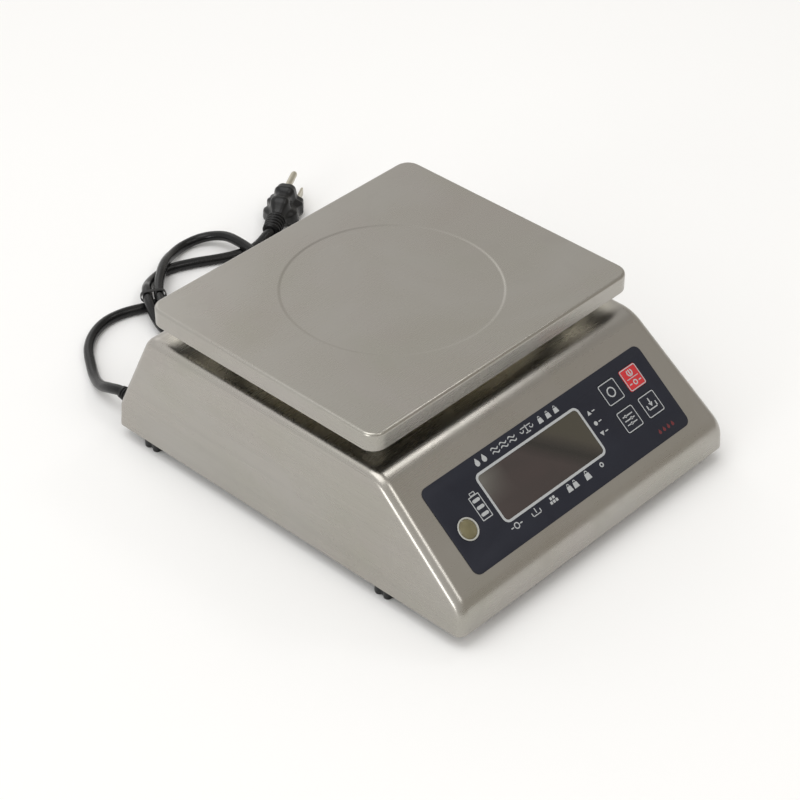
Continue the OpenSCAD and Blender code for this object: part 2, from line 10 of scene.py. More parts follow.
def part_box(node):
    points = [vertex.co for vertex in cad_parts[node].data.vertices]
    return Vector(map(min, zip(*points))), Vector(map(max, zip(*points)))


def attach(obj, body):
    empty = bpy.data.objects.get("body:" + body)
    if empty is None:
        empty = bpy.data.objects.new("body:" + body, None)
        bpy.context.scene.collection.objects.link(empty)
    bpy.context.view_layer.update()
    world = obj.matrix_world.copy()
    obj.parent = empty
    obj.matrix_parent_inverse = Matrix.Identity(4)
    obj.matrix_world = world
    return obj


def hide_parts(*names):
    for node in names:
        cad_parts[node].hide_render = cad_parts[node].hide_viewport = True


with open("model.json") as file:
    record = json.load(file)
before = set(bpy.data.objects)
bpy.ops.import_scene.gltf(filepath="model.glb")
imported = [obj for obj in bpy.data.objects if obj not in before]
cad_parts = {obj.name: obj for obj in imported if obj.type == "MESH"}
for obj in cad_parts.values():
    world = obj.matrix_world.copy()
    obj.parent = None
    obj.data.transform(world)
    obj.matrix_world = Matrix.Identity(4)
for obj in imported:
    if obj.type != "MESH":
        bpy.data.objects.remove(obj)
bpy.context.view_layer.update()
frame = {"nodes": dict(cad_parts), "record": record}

# ---- Driving dimensions ----------------------------------------------------

SHEET = 0.0012

shell_low, shell_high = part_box("housing_shell")
COLLAR_H = 0.004
TOP_Z = shell_high.z - COLLAR_H
LIP_Z = 0.0268
REAR_LIP_Z = 0.0248
SLOPE_TOP_Y = -0.075
REAR_TOP_Y = 0.122
SIDE_LEAN = 0.0072
FOLD_W = 0.0042
FOLD_INSET = 0.003
# How far a fold's rounding reaches from its corner along the sheet, which is not a radius.
FOLD_ROUND = 0.0024
FOLD_STEPS = 5
LIP_ROUND = 0.018
REAR_LIP_ROUND = 0.012
FRONT_ROUND = 0.026
REAR_ROUND = 0.012
BEND_STEPS = 10

pan_low, pan_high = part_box("pan")
PAN_Y = (pan_low.y + pan_high.y) / 2
PAN_CORNER = 0.010
PAN_BEND = 0.0021
PRESSING_R = 0.0692
PRESSING_DEPTH = 0.00035
PRESSING_EDGE = 0.0012
PRESSING_STEPS = 6
RIM_STEPS = 8

caps_low, caps_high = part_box("drip_caps")
CAP_R = 0.017
POST_X = caps_high.x - CAP_R
POST_Y = (caps_high.y - caps_low.y) / 2 - CAP_R
POST_R = 0.006
COLLAR_R = 0.011

OVERLAY_T = 0.0005
INK_T = 0.00005
INK_LINE = 0.0007
OVERLAY_AT = (0.0005, 0.04265)
OVERLAY_SIZE = (0.197, 0.0593)
OVERLAY_CORNER = 0.005
WINDOW_AT = (-0.01425, 0.04485)
WINDOW_SIZE = (0.0905, 0.0327)
WINDOW_CORNER = 0.0035
WINDOW_LEDGE = 0.002
CUT_REACH = 0.003
LEVEL_AT = (-0.0846, 0.0386)
LEVEL_R = 0.0062
LEVEL_HOLE_R = 0.0069
KEY_W = 0.015
KEY_CORNER = 0.0015
KEY_UNDER = 0.0018
KEY_PROUD = 0.0006
KEY_AT = {"key_set": (0.0607, 0.0365), "key_off": (0.0607, 0.0565),
          "key_tare": (0.0812, 0.0365), "key_on_zero": (0.0812, 0.0565)}

CORD_D = 0.007
RELIEF_AT = (-0.107, 0.018)
GLAND_HOLE_R = 0.0051
PLUG_AT = Vector((0.098, 0.233, 0))
PLUG_TURN = math.radians(30)
PLUG_FACE = 0.041
PLUG_AXIS_Z = 0.010


# ---- Outlines --------------------------------------------------------------

def rounded_path(corners, radii, steps=6, closed=False):
    """Points and left-hand normals along a 2D outline whose corners are rounded as arcs."""
    made = []
    count = len(corners)
    for i, (corner, radius) in enumerate(zip(corners, radii)):
        here = Vector(corner)
        if not closed and i in (0, count - 1):
            there = Vector(corners[1] if i == 0 else corners[i - 1])
            way = (there - here if i == 0 else here - there).normalized()
            made.append((here, Vector((-way.y, way.x))))
            continue
        before = (here - Vector(corners[i - 1])).normalized()
        after = (Vector(corners[(i + 1) % count]) - here).normalized()
        turn = before.angle_signed(after) * -1
        start = here - before * radius * math.tan(abs(turn) / 2)
        side = Vector((-before.y, before.x)) * (1 if turn > 0 else -1)
        centre = start + side * radius
        for k in range(steps + 1):
            spin = Matrix.Rotation(turn * k / steps, 2)
            out = spin @ Vector((-before.y, before.x))
            made.append((centre + spin @ (start - centre), out))
    return made


def spoke(x, y, radius, angle):
    """The point at an angle on a circle round (x, y)."""
    return Vector((x + radius * math.cos(angle), y + radius * math.sin(angle)))


def rounded_rect(width, height, radius, steps=6, at=(0, 0), edge=1):
    """Points of a round-cornered rectangle, anticlockwise; edge is the pieces of a straight side."""
    points = []
    x, y = width / 2 - radius, height / 2 - radius
    centres = [(at[0] + cx, at[1] + cy) for cx, cy in ((x, y), (-x, y), (-x, -y), (x, -y))]
    for quarter in range(4):
        points += [spoke(*centres[quarter], radius, math.pi / 2 * (quarter + k / steps))
                   for k in range(steps + 1)]
        near, far = points[-1], spoke(*centres[(quarter + 1) % 4], radius, math.pi / 2 * (quarter + 1))
        points += [near.lerp(far, k / edge) for k in range(1, edge)]
    return points


def disc(x, y, radius, steps=24):
    """Points of a circle."""
    return [spoke(x, y, radius, 2 * math.pi * k / steps) for k in range(steps)]


def bar(x0, y0, x1, y1, width, steps=4):
    """Outline of a straight stroke with round ends."""
    heading = math.atan2(y1 - y0, x1 - x0)
    return [spoke(x, y, width / 2, heading + math.pi * (first + k / steps))
            for x, y, first in ((x1, y1, -0.5), (x0, y0, 0.5)) for k in range(steps + 1)]


def arc(x, y, radius, start, end, width, steps=14):
    """Outline of a curved stroke between two angles in degrees."""
    turns = [math.radians(start + (end - start) * k / steps) for k in range(steps + 1)]
    return [spoke(x, y, radius + width / 2, t) for t in turns] \
        + [spoke(x, y, radius - width / 2, t) for t in reversed(turns)]


def frame_of(x, y, width, height, radius, line):
    """Outer and inner outline of a round-cornered frame."""
    return [rounded_rect(width, height, radius, at=(x, y)),
            rounded_rect(width - 2 * line, height - 2 * line, max(radius - line, 0.0001), at=(x, y))]


# ---- Meshes ----------------------------------------------------------------

def add_object(name, data):
    """Puts a new object with this data into the scene."""
    made = bpy.data.objects.new(name, data)
    bpy.context.scene.collection.objects.link(made)
    return made


class Shape:
    """Vertices and faces gathered from several lofts, which become one mesh."""

    def __init__(self):
        self.points = []
        self.faces = []

    def loft(self, rings, wrap=True, start=False, end=False, loop=False):
        """Joins rings of equal count: wrap closes each ring, loop joins the last to the first."""
        base, count, rows = len(self.points), len(rings[0]), len(rings)
        for ring in rings:
            self.points += [Vector(p) for p in ring]
        for i in range(rows if loop else rows - 1):
            here, there = base + i * count, base + (i + 1) % rows * count
            for k in range(count if wrap else count - 1):
                n = (k + 1) % count
                self.faces.append((here + k, here + n, there + n, there + k))
        if start:
            self.faces.append(tuple(base + k for k in reversed(range(count))))
        if end:
            self.faces.append(tuple(base + (rows - 1) * count + k for k in range(count)))
        return self

    def lathe(self, profile, place, steps=48, loop=False):
        """Turns a profile of (radius, height) about the Z axis of place."""
        turn = 2 * math.pi / steps
        rings = [[place @ Vector((*spoke(0, 0, radius, turn * k), height)) for k in range(steps)]
                 for radius, height in profile]
        return self.loft(rings, loop=loop, start=not loop, end=not loop)

    def prism(self, outline, low, high, place):
        """Straight solid on a 2D outline."""
        return self.loft([[place @ Vector((p[0], p[1], z)) for p in outline] for z in (low, high)],
                         start=True, end=True)

    def build(self, name, sharp=35):
        """Makes the object, with faces pointing outwards and edges sharp above an angle."""
        mesh = bpy.data.meshes.new(name)
        mesh.from_pydata(self.points, [], self.faces)
        made = add_object(name, mesh)
        tidy(made, sharp)
        return made


def tidy(obj, sharp):
    """Welds a mesh, turns its faces outwards and shades it smooth up to an angle."""
    work = bmesh.new()
    work.from_mesh(obj.data)
    bmesh.ops.remove_doubles(work, verts=work.verts, dist=1e-7)
    bmesh.ops.recalc_face_normals(work, faces=work.faces)
    work.to_mesh(obj.data)
    work.free()
    obj.data.shade_smooth()
    obj.data.set_sharp_from_angle(angle=math.radians(sharp))


def settle(obj):
    """Applies an object's modifiers to its mesh."""
    evaluated = obj.evaluated_get(bpy.context.evaluated_depsgraph_get())
    mesh = bpy.data.meshes.new_from_object(evaluated)
    obj.modifiers.clear()
    obj.data = mesh


def modify(obj, kind, **settings):
    """Adds a modifier with its settings."""
    made = obj.modifiers.new(kind.title(), kind)
    for name, value in settings.items():
        setattr(made, name, value)


def thicken(obj):
    """Turns an open sheet's faces upwards and gives it the sheet's thickness on the inside."""
    if sum(f.normal.z * f.area for f in obj.data.polygons) < 0:
        obj.data.flip_normals()
    modify(obj, "SOLIDIFY", thickness=SHEET, offset=-1, use_even_offset=True)


def shade_sheet(obj):
    """Smooth shading that keeps cut edges sharp and flat faces flat."""
    obj.data.shade_smooth()
    obj.data.set_sharp_from_angle(angle=math.radians(40))
    modify(obj, "WEIGHTED_NORMAL", keep_sharp=True, weight=80)


def plate(name, outlines, low, high, edge, place):
    """Flat plate from 2D outlines, the inner ones holes, with slightly rounded rims."""
    curve = bpy.data.curves.new(name, "CURVE")
    curve.dimensions = "2D"
    curve.fill_mode = "BOTH"
    curve.extrude = (high - low) / 2 - edge
    curve.bevel_depth = edge
    curve.offset = -edge
    curve.bevel_resolution = 2
    for outline in outlines:
        spline = curve.splines.new("POLY")
        spline.points.add(len(outline) - 1)
        for point, p in zip(spline.points, outline):
            point.co = (p[0], p[1], 0, 1)
        spline.use_cyclic_u = True
    source = add_object(name + "_outline", curve)
    mesh = bpy.data.meshes.new_from_object(source.evaluated_get(bpy.context.evaluated_depsgraph_get()))
    bpy.data.objects.remove(source)
    mesh.transform(place @ Matrix.Translation((0, 0, (low + high) / 2)))
    made = add_object(name, mesh)
    tidy(made, 40)
    return made


# ---- Finishes --------------------------------------------------------------

FINISHES = {}


class Finish:
    """A Principled material built up node by node from object coordinates, kept in FINISHES."""

    def __init__(self, name, color, roughness, **constants):
        self.material = bpy.data.materials.new(name)
        FINISHES[name] = self.material
        self.material.use_nodes = True
        self.nodes = self.material.node_tree.nodes
        self.wires = self.material.node_tree.links
        self.shader = self.nodes["Principled BSDF"]
        self.shader.inputs["Base Color"].default_value = (*color, 1)
        self.shader.inputs["Roughness"].default_value = roughness
        for socket, value in constants.items():
            self.shader.inputs[socket.replace("_", " ")].default_value = value
        self.place = self.nodes.new("ShaderNodeTexCoord").outputs["Object"]

    def put(self, socket, value):
        """Sets an input to a number, or wires an output into it."""
        if isinstance(value, bpy.types.NodeSocket):
            self.wires.new(value, socket)
        elif hasattr(value, "__len__") and len(value) == 3 and len(socket.default_value) == 4:
            socket.default_value = (*value, 1)
        else:
            socket.default_value = value

    def noise(self, scale, stretch=(1, 1, 1), detail=3.0, roughness=0.55, warp=0.0):
        """Noise between 0 and 1; stretch scales each axis on its own."""
        mapping = self.nodes.new("ShaderNodeMapping")
        self.wires.new(self.place, mapping.inputs["Vector"])
        mapping.inputs["Scale"].default_value = stretch
        texture = self.nodes.new("ShaderNodeTexNoise")
        self.wires.new(mapping.outputs["Vector"], texture.inputs["Vector"])
        for name, value in (("Scale", scale), ("Detail", detail), ("Roughness", roughness),
                            ("Distortion", warp)):
            texture.inputs[name].default_value = value
        return texture.outputs["Fac"]

    def spread(self, value, low, high, start=0.3, end=0.7):
        """Maps a value from start-end to low-high, held at both ends."""
        node = self.nodes.new("ShaderNodeMapRange")
        for name, given in (("Value", value), ("From Min", start), ("From Max", end),
                            ("To Min", low), ("To Max", high)):
            self.put(node.inputs[name], given)
        return node.outputs["Result"]

    def math(self, kind, a, b=0.0):
        """One arithmetic step."""
        node = self.nodes.new("ShaderNodeMath")
        node.operation = kind
        self.put(node.inputs[0], a)
        self.put(node.inputs[1], b)
        return node.outputs["Value"]

    def mix(self, share, a, b):
        """Mixes two colours."""
        node = self.nodes.new("ShaderNodeMix")
        node.data_type = "RGBA"
        self.put(node.inputs["Factor"], share)
        self.put(node.inputs["A"], a)
        self.put(node.inputs["B"], b)
        return node.outputs["Result"]

    def facing(self, axis):
        """How much the surface faces along an axis, from 0 to 1."""
        node = self.nodes.new("ShaderNodeSeparateXYZ")
        normal = self.nodes.new("ShaderNodeNewGeometry").outputs["True Normal"]
        self.wires.new(normal, node.inputs["Vector"])
        return self.math("ABSOLUTE", node.outputs[axis])

    def along(self, axis):
        """Coordinate along one axis."""
        node = self.nodes.new("ShaderNodeSeparateXYZ")
        self.wires.new(self.place, node.inputs["Vector"])
        return node.outputs[axis]

    def color(self, value):
        """Sets the base colour."""
        self.put(self.shader.inputs["Base Color"], value)

    def rough(self, value):
        """Sets the roughness."""
        self.put(self.shader.inputs["Roughness"], value)

    def bump(self, height, distance, strength=0.5):
        """Raises the surface by height times distance."""
        node = self.nodes.new("ShaderNodeBump")
        node.inputs["Strength"].default_value = strength
        node.inputs["Distance"].default_value = distance
        self.put(node.inputs["Height"], height)
        self.wires.new(node.outputs["Normal"], self.shader.inputs["Normal"])


def satin_steel(name, tone, roughness, marks=1.0, painted_gap_light=None):
    """Satin-polished stainless sheet: fine grain, cloudy polish, wiping streaks and a few smudges; a given
    gap tone is painted on as bounce light in the gap under the pan.
    """
    made = Finish(name, tone, roughness, Metallic=1.0)
    top_grain = made.noise(1500, (0.02, 1, 1), detail=4, roughness=0.7)
    side_grain = made.noise(1500, (1, 0.02, 1), detail=4, roughness=0.7)
    sideways = made.spread(made.facing("X"), 0, 1, 0.6, 0.8)
    grain = made.mix(sideways, top_grain, side_grain)
    cloud = made.noise(9, detail=3, warp=0.6)
    tint = made.noise(16, (1, 0.6, 1.3), detail=2, warp=0.8)
    strokes = made.noise(170, (1, 0.03, 1), detail=3, roughness=0.6, warp=0.15)
    smudges = made.noise(26, detail=3, roughness=0.6, warp=1.4)
    streaks = made.math("MULTIPLY", sideways, made.spread(strokes, 0, 0.11 * marks, 0.46, 0.70))
    base = scaled(tone, (1.02, 0.985, 0.985))
    for share, by in ((made.spread(tint, 0, 1), (0.98, 0.985, 0.93)),
                      (made.spread(cloud, 0, 1), (1.08, 1.08, 1.09)),
                      (made.spread(grain, 0, 0.10 * marks, 0.35, 0.75), (0.82, 0.82, 0.82)),
                      (streaks, (0.74, 0.74, 0.75)),
                      (made.spread(smudges, 0, 0.16 * marks, 0.56, 0.74), (0.82, 0.81, 0.80))):
        base = made.mix(share, base, scaled(tone, by))
    # Painted bounce light: a lighter olive tone over the base in the gap under the pan.
    made.color(made.mix(gap_light_share(made), base, painted_gap_light) if painted_gap_light else base)
    wear = made.math("ADD", made.spread(cloud, roughness - 0.03, roughness + 0.03),
                     made.spread(smudges, 0, 0.07 * marks, 0.55, 0.72))
    made.rough(made.math("ADD", wear, made.spread(grain, -0.02, 0.03)))
    made.bump(grain, 0.000008)
    return made.material


def scaled(tone, by):
    """A tone with each channel multiplied."""
    return tuple(c * k for c, k in zip(tone, by))


def gap_light_share(made):
    """Share from 0 to 1 that is 1 on the sheet in the gap between the housing's top and the pan, where bounce
    light is painted.
    """
    across = made.spread(made.math("ABSOLUTE", made.along("X")), 1, 0, pan_high.x - 0.014, pan_high.x - 0.003)
    from_middle = made.math("ABSOLUTE", made.math("SUBTRACT", made.along("Y"), PAN_Y))
    half_depth = (pan_high.y - pan_low.y) / 2
    deep = made.spread(from_middle, 1, 0, half_depth - 0.012, half_depth - 0.0015)
    above = made.spread(made.along("Z"), 0, 1, TOP_Z - 0.004, TOP_Z - 0.001)
    below = made.spread(made.along("Z"), 1, 0, pan_high.z - SHEET, pan_high.z - 0.0008)
    return made.math("MULTIPLY", made.math("MULTIPLY", across, deep), made.math("MULTIPLY", above, below))


def moulded(name, tone, roughness, grain=2600, dust=0.12, **constants):
    """Moulded plastic or rubber: fine texture, slight dust and colour drift."""
    made = Finish(name, tone, roughness, **constants)
    texture = made.noise(grain, detail=2, roughness=0.6)
    drift = made.noise(60, detail=4, warp=0.4)
    lighter = tuple(min(1.0, c * 1.3 + 0.004) for c in tone)
    made.color(made.mix(made.spread(drift, 0, dust * 4), tone, lighter))
    made.rough(made.math("ADD", made.spread(texture, -0.04, 0.05),
                         made.spread(drift, roughness - 0.05, roughness + 0.07)))
    made.bump(texture, 0.00002)
    return made.material


def plated(name, tone, roughness):
    """Plated or milled metal with tiny scratches."""
    made = Finish(name, tone, roughness, Metallic=1.0)
    scratch = made.noise(900, (1, 0.06, 1), detail=4, roughness=0.7)
    cloud = made.noise(120, detail=3)
    made.color(made.mix(made.spread(cloud, 0, 0.5), tone, tuple(c * 0.8 for c in tone)))
    made.rough(made.math("ADD", made.spread(scratch, -0.05, 0.08), roughness))
    made.bump(scratch, 0.00001, 0.4)
    return made.material


def film(name, tone):
    """Printed membrane film: fine matt texture under a faint sheen."""
    made = Finish(name, tone, 0.42, Specular_IOR_Level=0.28)
    texture = made.noise(3800, detail=2)
    drift = made.noise(45, detail=4, warp=0.5)
    made.color(made.mix(made.spread(drift, 0, 0.35), tone, tuple(c * 1.25 + 0.004 for c in tone)))
    made.rough(made.math("ADD", made.spread(texture, -0.03, 0.04), made.spread(drift, 0.39, 0.48)))
    made.bump(texture, 0.000012)
    return made.material


def smoked_window(name):
    """Smoked clear window over the display: warm below a soft painted dark reflection stripe, greyer above,
    and lighter in a blotchy patch at the upper left end.
    """
    made = Finish(name, (0.035, 0.03, 0.027), 0.2, Coat_Weight=0.15, Coat_Roughness=0.10, IOR=1.5)
    low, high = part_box("display_window")
    smoke = made.noise(26, (0.6, 1, 1), detail=2, warp=0.5)
    across = made.spread(made.along("X"), 0, 1, low.x, high.x)
    up = made.spread(made.along("Z"), 0, 1, low.z, high.z)
    past_band = made.math("SUBTRACT", made.math("ADD", up, made.math("MULTIPLY", across, 2.4)), 2.2)
    tone = made.mix(made.spread(smoke, 0, 1, 0.35, 0.65), (0.044, 0.031, 0.029), (0.036, 0.028, 0.026))
    tone = made.mix(made.spread(past_band, 0, 1, -0.2, 0.5), tone, (0.052, 0.046, 0.032))
    # Painted reflection: a soft dark diagonal stripe across the window, where something dark would be
    # mirrored in it.
    painted_reflection_band = made.spread(made.math("ABSOLUTE", past_band), 0.8, 0, 0.02, 0.36)
    tone = made.mix(painted_reflection_band, tone, (0.010, 0.009, 0.007))
    # A lighter blotchy patch towards the upper left end of the window.
    upper_left_patch = made.math("MULTIPLY", made.spread(across, 1, 0, 0.02, 0.24), made.spread(up, 0, 1, 0.35, 0.85))
    tone = made.mix(made.math("MULTIPLY", upper_left_patch, made.spread(smoke, 0.5, 1)), tone, (0.13, 0.125, 0.11))
    made.color(tone)
    made.rough(made.spread(made.noise(500, detail=5, roughness=0.7), 0.16, 0.26))
    return made.material


def vial_fluid(name):
    """Clear capsule with yellow-green fluid."""
    made = Finish(name, (0.30, 0.27, 0.13), 0.10, Transmission_Weight=0.35, IOR=1.42,
                  Coat_Weight=0.3, Coat_Roughness=0.10)
    drift = made.noise(160, detail=2)
    made.color(made.mix(made.spread(drift, 0, 1), (0.21, 0.185, 0.095), (0.28, 0.25, 0.14)))
    made.rough(made.spread(drift, 0.04, 0.08))
    return made.material


def circuit_board(name):
    """Solder-masked board with faint copper tracks under the mask."""
    made = Finish(name, (0.02, 0.13, 0.05), 0.35, Coat_Weight=0.4, Coat_Roughness=0.2)
    tracks = made.noise(260, (1, 0.1, 1), detail=1)
    made.color(made.mix(made.spread(tracks, 0, 1, 0.52, 0.56), (0.015, 0.10, 0.04), (0.04, 0.20, 0.08)))
    made.rough(made.spread(tracks, 0.32, 0.42))
    made.bump(tracks, 0.00003)
    return made.material


def ink(name, tone):
    """Screen-printed ink with slight wear."""
    made = Finish(name, tone, 0.5)
    wear = made.noise(1400, detail=3)
    made.color(made.mix(made.spread(wear, 0, 0.35), tone, tuple(c * 0.78 for c in tone)))
    made.rough(made.spread(wear, 0.45, 0.58))
    return made.material


def coil_tape(name):
    """Taped copper winding."""
    made = Finish(name, (0.50, 0.33, 0.10), 0.45)
    turns = made.noise(900, (0.05, 1, 1), detail=1)
    made.color(made.mix(made.spread(turns, 0, 1), (0.42, 0.26, 0.07), (0.60, 0.42, 0.15)))
    made.bump(turns, 0.0001, 0.6)
    return made.material


def threaded(name, tone):
    """Plated screw with its thread."""
    made = Finish(name, tone, 0.3, Metallic=1.0)
    wave = made.nodes.new("ShaderNodeTexWave")
    made.wires.new(made.place, wave.inputs["Vector"])
    wave.bands_direction = "Z"
    wave.inputs["Scale"].default_value = 250
    cloud = made.noise(200, detail=3)
    made.color(made.mix(made.spread(cloud, 0, 0.6), tone, tuple(c * 0.75 for c in tone)))
    made.rough(made.spread(cloud, 0.26, 0.38))
    made.bump(wave.outputs["Fac"], 0.0003, 0.7)
    return made.material


# Each call adds its finish to FINISHES under the name of its slot.
# The housing and pan steel has a lighter olive tone painted in as bounce light in the gap under the pan.
satin_steel("shell_steel", (0.388, 0.374, 0.347), 0.28, painted_gap_light=(0.76, 0.73, 0.64))
satin_steel("plate_steel", (0.40, 0.39, 0.37), 0.38, marks=0.6)
threaded("fastener", (0.62, 0.62, 0.60))
plated("cast_alloy", (0.62, 0.63, 0.64), 0.42)
moulded("black_rubber", (0.0030, 0.0030, 0.0033), 0.30, dust=0.2, Specular_IOR_Level=0.35)
moulded("knob_plastic", (0.0040, 0.0040, 0.0044), 0.34, dust=0.2)
moulded("cord_sheath", (0.0025, 0.0025, 0.0028), 0.24, grain=1800, dust=0.15, Specular_IOR_Level=0.32)
plated("plug_pin", (0.55, 0.52, 0.43), 0.33)
film("overlay_film", (0.0108, 0.0124, 0.0215))
film("key_dark", (0.0112, 0.0128, 0.0220))
film("key_red", (0.50, 0.030, 0.035))
smoked_window("window_tint")
moulded("display_black", (0.02, 0.02, 0.02), 0.25)
circuit_board("circuit_board")
moulded("chip_black", (0.02, 0.02, 0.022), 0.5)
moulded("level_white", (0.42, 0.42, 0.39), 0.40, dust=0.05)
vial_fluid("level_fluid")
moulded("level_air", (0.75, 0.74, 0.55), 0.12, Coat_Weight=0.8)
moulded("battery_case", (0.03, 0.033, 0.04), 0.5)
plated("core_iron", (0.20, 0.19, 0.18), 0.55)
coil_tape("coil_copper")
ink("light_ink", (0.43, 0.445, 0.455))
ink("red_ink", (0.13, 0.016, 0.020))


def dress(obj, body, slot, *nodes):
    """Gives a piece its slot's finish and its body, and hides the CAD nodes that it stands for."""
    obj.data.materials.clear()
    obj.data.materials.append(FINISHES[slot])
    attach(obj, body)
    if nodes:
        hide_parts(*nodes)
    return obj


def print_on(obj, body, tone):
    """Gives a printed mark its ink and the body that it rides on."""
    obj.data.materials.clear()
    obj.data.materials.append(FINISHES[tone])
    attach(obj, body)


# ---- Camera ----------------------------------------------------------------

CAMERA_TARGET = Vector((0.00699, 0.02310, 0.01963))
CAMERA_DISTANCE = 1.5687
CAMERA_AZIMUTH = math.radians(-46.67)
CAMERA_ELEVATION = math.radians(37.63)
CAMERA_LENS = 111.1


def make_camera():
    """Camera at the photograph's viewing angle."""
    level = math.cos(CAMERA_ELEVATION)
    back = Vector((math.sin(CAMERA_AZIMUTH) * level, -math.cos(CAMERA_AZIMUTH) * level,
                   math.sin(CAMERA_ELEVATION)))
    data = bpy.data.cameras.new("camera")
    data.lens = CAMERA_LENS
    data.clip_end = 20
    camera = add_object("camera", data)
    camera.location = CAMERA_TARGET + back * CAMERA_DISTANCE
    camera.rotation_mode = "QUATERNION"
    camera.rotation_quaternion = (-back).to_track_quat("-Z", "Y")
    bpy.context.scene.camera = camera


make_camera()

# ---- Mains lead ------------------------------------------------------------

LEAD_ROUTE = [
    (-0.107, 0.160, 0.018), (-0.107, 0.171, 0.015), (-0.104, 0.185, 0.0085), (-0.098, 0.198, 0.0045),
    (-0.090, 0.211, 0.0035), (-0.079, 0.226, 0.0035), (-0.066, 0.236, 0.0035), (-0.051, 0.241, 0.0035),
    (-0.037, 0.240, 0.0035), (-0.024, 0.235, 0.0035), (-0.012, 0.2285, 0.0035), (0, 0.2235, 0.0035),
    (0.013, 0.222, 0.0035)]
TAIL_ROUTE = [
    (0.052, 0.1769, 0.0035), (0.036, 0.1725, 0.0065), (0.020, 0.168, 0.010), (0.004, 0.1675, 0.0105),
    (-0.010, 0.173, 0.0105), (-0.019, 0.185, 0.0105), (-0.022, 0.199, 0.0105), (-0.020, 0.214, 0.0105),
    (-0.014, 0.227, 0.0105), (-0.005, 0.238, 0.0105), (0.006, 0.248, 0.0105), (0.018, 0.2575, 0.009),
    (0.032, 0.2655, 0.0055), (0.047, 0.2695, 0.004), (0.061, 0.2655, 0.0055), (0.069, 0.253, 0.009),
    (0.070, 0.239, 0.0105), (0.069, 0.223, 0.0105), (0.067, 0.206, 0.0105), (0.063, 0.190, 0.011),
    (0.054, 0.175, 0.0112), (0.041, 0.164, 0.011), (0.025, 0.158, 0.0105), (0.008, 0.1575, 0.0105),
    (-0.009, 0.161, 0.0105), (-0.023, 0.171, 0.0105), (-0.031, 0.185, 0.009), (-0.033, 0.199, 0.0065),
    (-0.0295, 0.213, 0.0075), (-0.023, 0.227, 0.010), (-0.015, 0.239, 0.0105), (-0.005, 0.249, 0.0065),
    (0.008, 0.2555, 0.0035), (0.022, 0.2555, 0.0035), (0.036, 0.250, 0.0035), (0.050, 0.242, 0.0035),
    (0.064, 0.2345, 0.004), (0.078, 0.2295, 0.006), (0.0945, 0.231, 0.010)]
HANK_AT = Vector((0.055, 0.187, CORD_D / 2))
HANK_RUN = 0.084
HANK_OUTER = 0.035
HANK_TURNS = 3
HANK_SQUEEZE = 0.011
HANK_STEPS = 8
HANDLE_SHARE = 0.34


def hank_run(start, end, radius, far):
    """Points of one long run of the hank, drawn in at its waist by the tie."""
    points = []
    for k in range(HANK_STEPS + 1):
        x = start + (end - start) * k / HANK_STEPS
        waist = (1 + math.cos(2 * math.pi * x / HANK_RUN)) / 2
        reach = radius - HANK_SQUEEZE * waist
        points.append(HANK_AT + Vector((x, reach if far else -reach, 0)))
    return points


def hank_fold(x, radius_in, radius_out, first):
    """Points of one half turn at an end of the hank, clockwise from the angle first."""
    points = []
    for k in range(1, HANK_STEPS):
        radius = radius_in + (radius_out - radius_in) * k / HANK_STEPS
        a = first - math.pi * k / HANK_STEPS
        points.append(HANK_AT + spoke(x, 0, radius, a).to_3d())
    return points


def hank_points():
    """Centreline of the folded hank, from the lead's end to the tail's start."""
    end = HANK_RUN / 2
    points = []
    for turn in range(HANK_TURNS):
        radius = HANK_OUTER - turn * CORD_D
        points += hank_run(-end, end, radius, True)
        points += hank_fold(end, radius, radius, math.pi / 2)
        if turn < HANK_TURNS - 1:
            points += hank_run(end, -end, radius, False)
            points += hank_fold(-end, radius, radius - CORD_D, -math.pi / 2)
    start_of_tail = TAIL_ROUTE[0][0] - HANK_AT.x
    points += [p for p in hank_run(end, -end, radius, False) if p.x - HANK_AT.x > start_of_tail + 0.005]
    return points


def make_cord():
    """The whole lead as one curve: from the gland, through the hank, to the plug."""
    route = [Vector(p) for p in LEAD_ROUTE[:-1]] + hank_points() + [Vector(p) for p in TAIL_ROUTE]
    curve = bpy.data.curves.new("mains_lead", "CURVE")
    curve.dimensions = "3D"
    curve.resolution_u = 6
    curve.bevel_depth = CORD_D / 2
    curve.bevel_resolution = 5
    curve.use_fill_caps = True
    spline = curve.splines.new("BEZIER")
    spline.bezier_points.add(len(route) - 1)
    for i, (point, place) in enumerate(zip(spline.bezier_points, route)):
        before, after = route[max(i - 1, 0)], route[min(i + 1, len(route) - 1)]
        back, ahead = place - before, after - place
        way = back.normalized() + ahead.normalized()
        if back.z * ahead.z <= 0:
            way.z = 0
        way.normalize()
        point.co = place
        point.handle_left = place - way * back.length * HANDLE_SHARE
        point.handle_right = place + way * ahead.length * HANDLE_SHARE
    return dress(add_object("mains_lead", curve), "root", "cord_sheath", "cord_lead", "cord_hank",
                 "cord_tail")


cord = make_cord()

# Ribs of the gland's bend protector: (radius, distance behind the housing's rear)
RELIEF_ROOT = [(0.0050, -0.009), (0.0050, 0.0001), (0.0060, 0.0001), (0.0065, 0.0006), (0.0065, 0.0019),
               (0.0060, 0.0026)]
RELIEF_RIBS = 4
RELIEF_RIB_STEP = 0.0022


def relief_place(way):
    """Frame of the strain relief at the rear wall: Z outwards for way -1, inwards for 1."""
    at = Matrix.Translation((RELIEF_AT[0], shell_high.y, RELIEF_AT[1]))
    return at @ Matrix.Rotation(way * math.pi / 2, 4, "X")


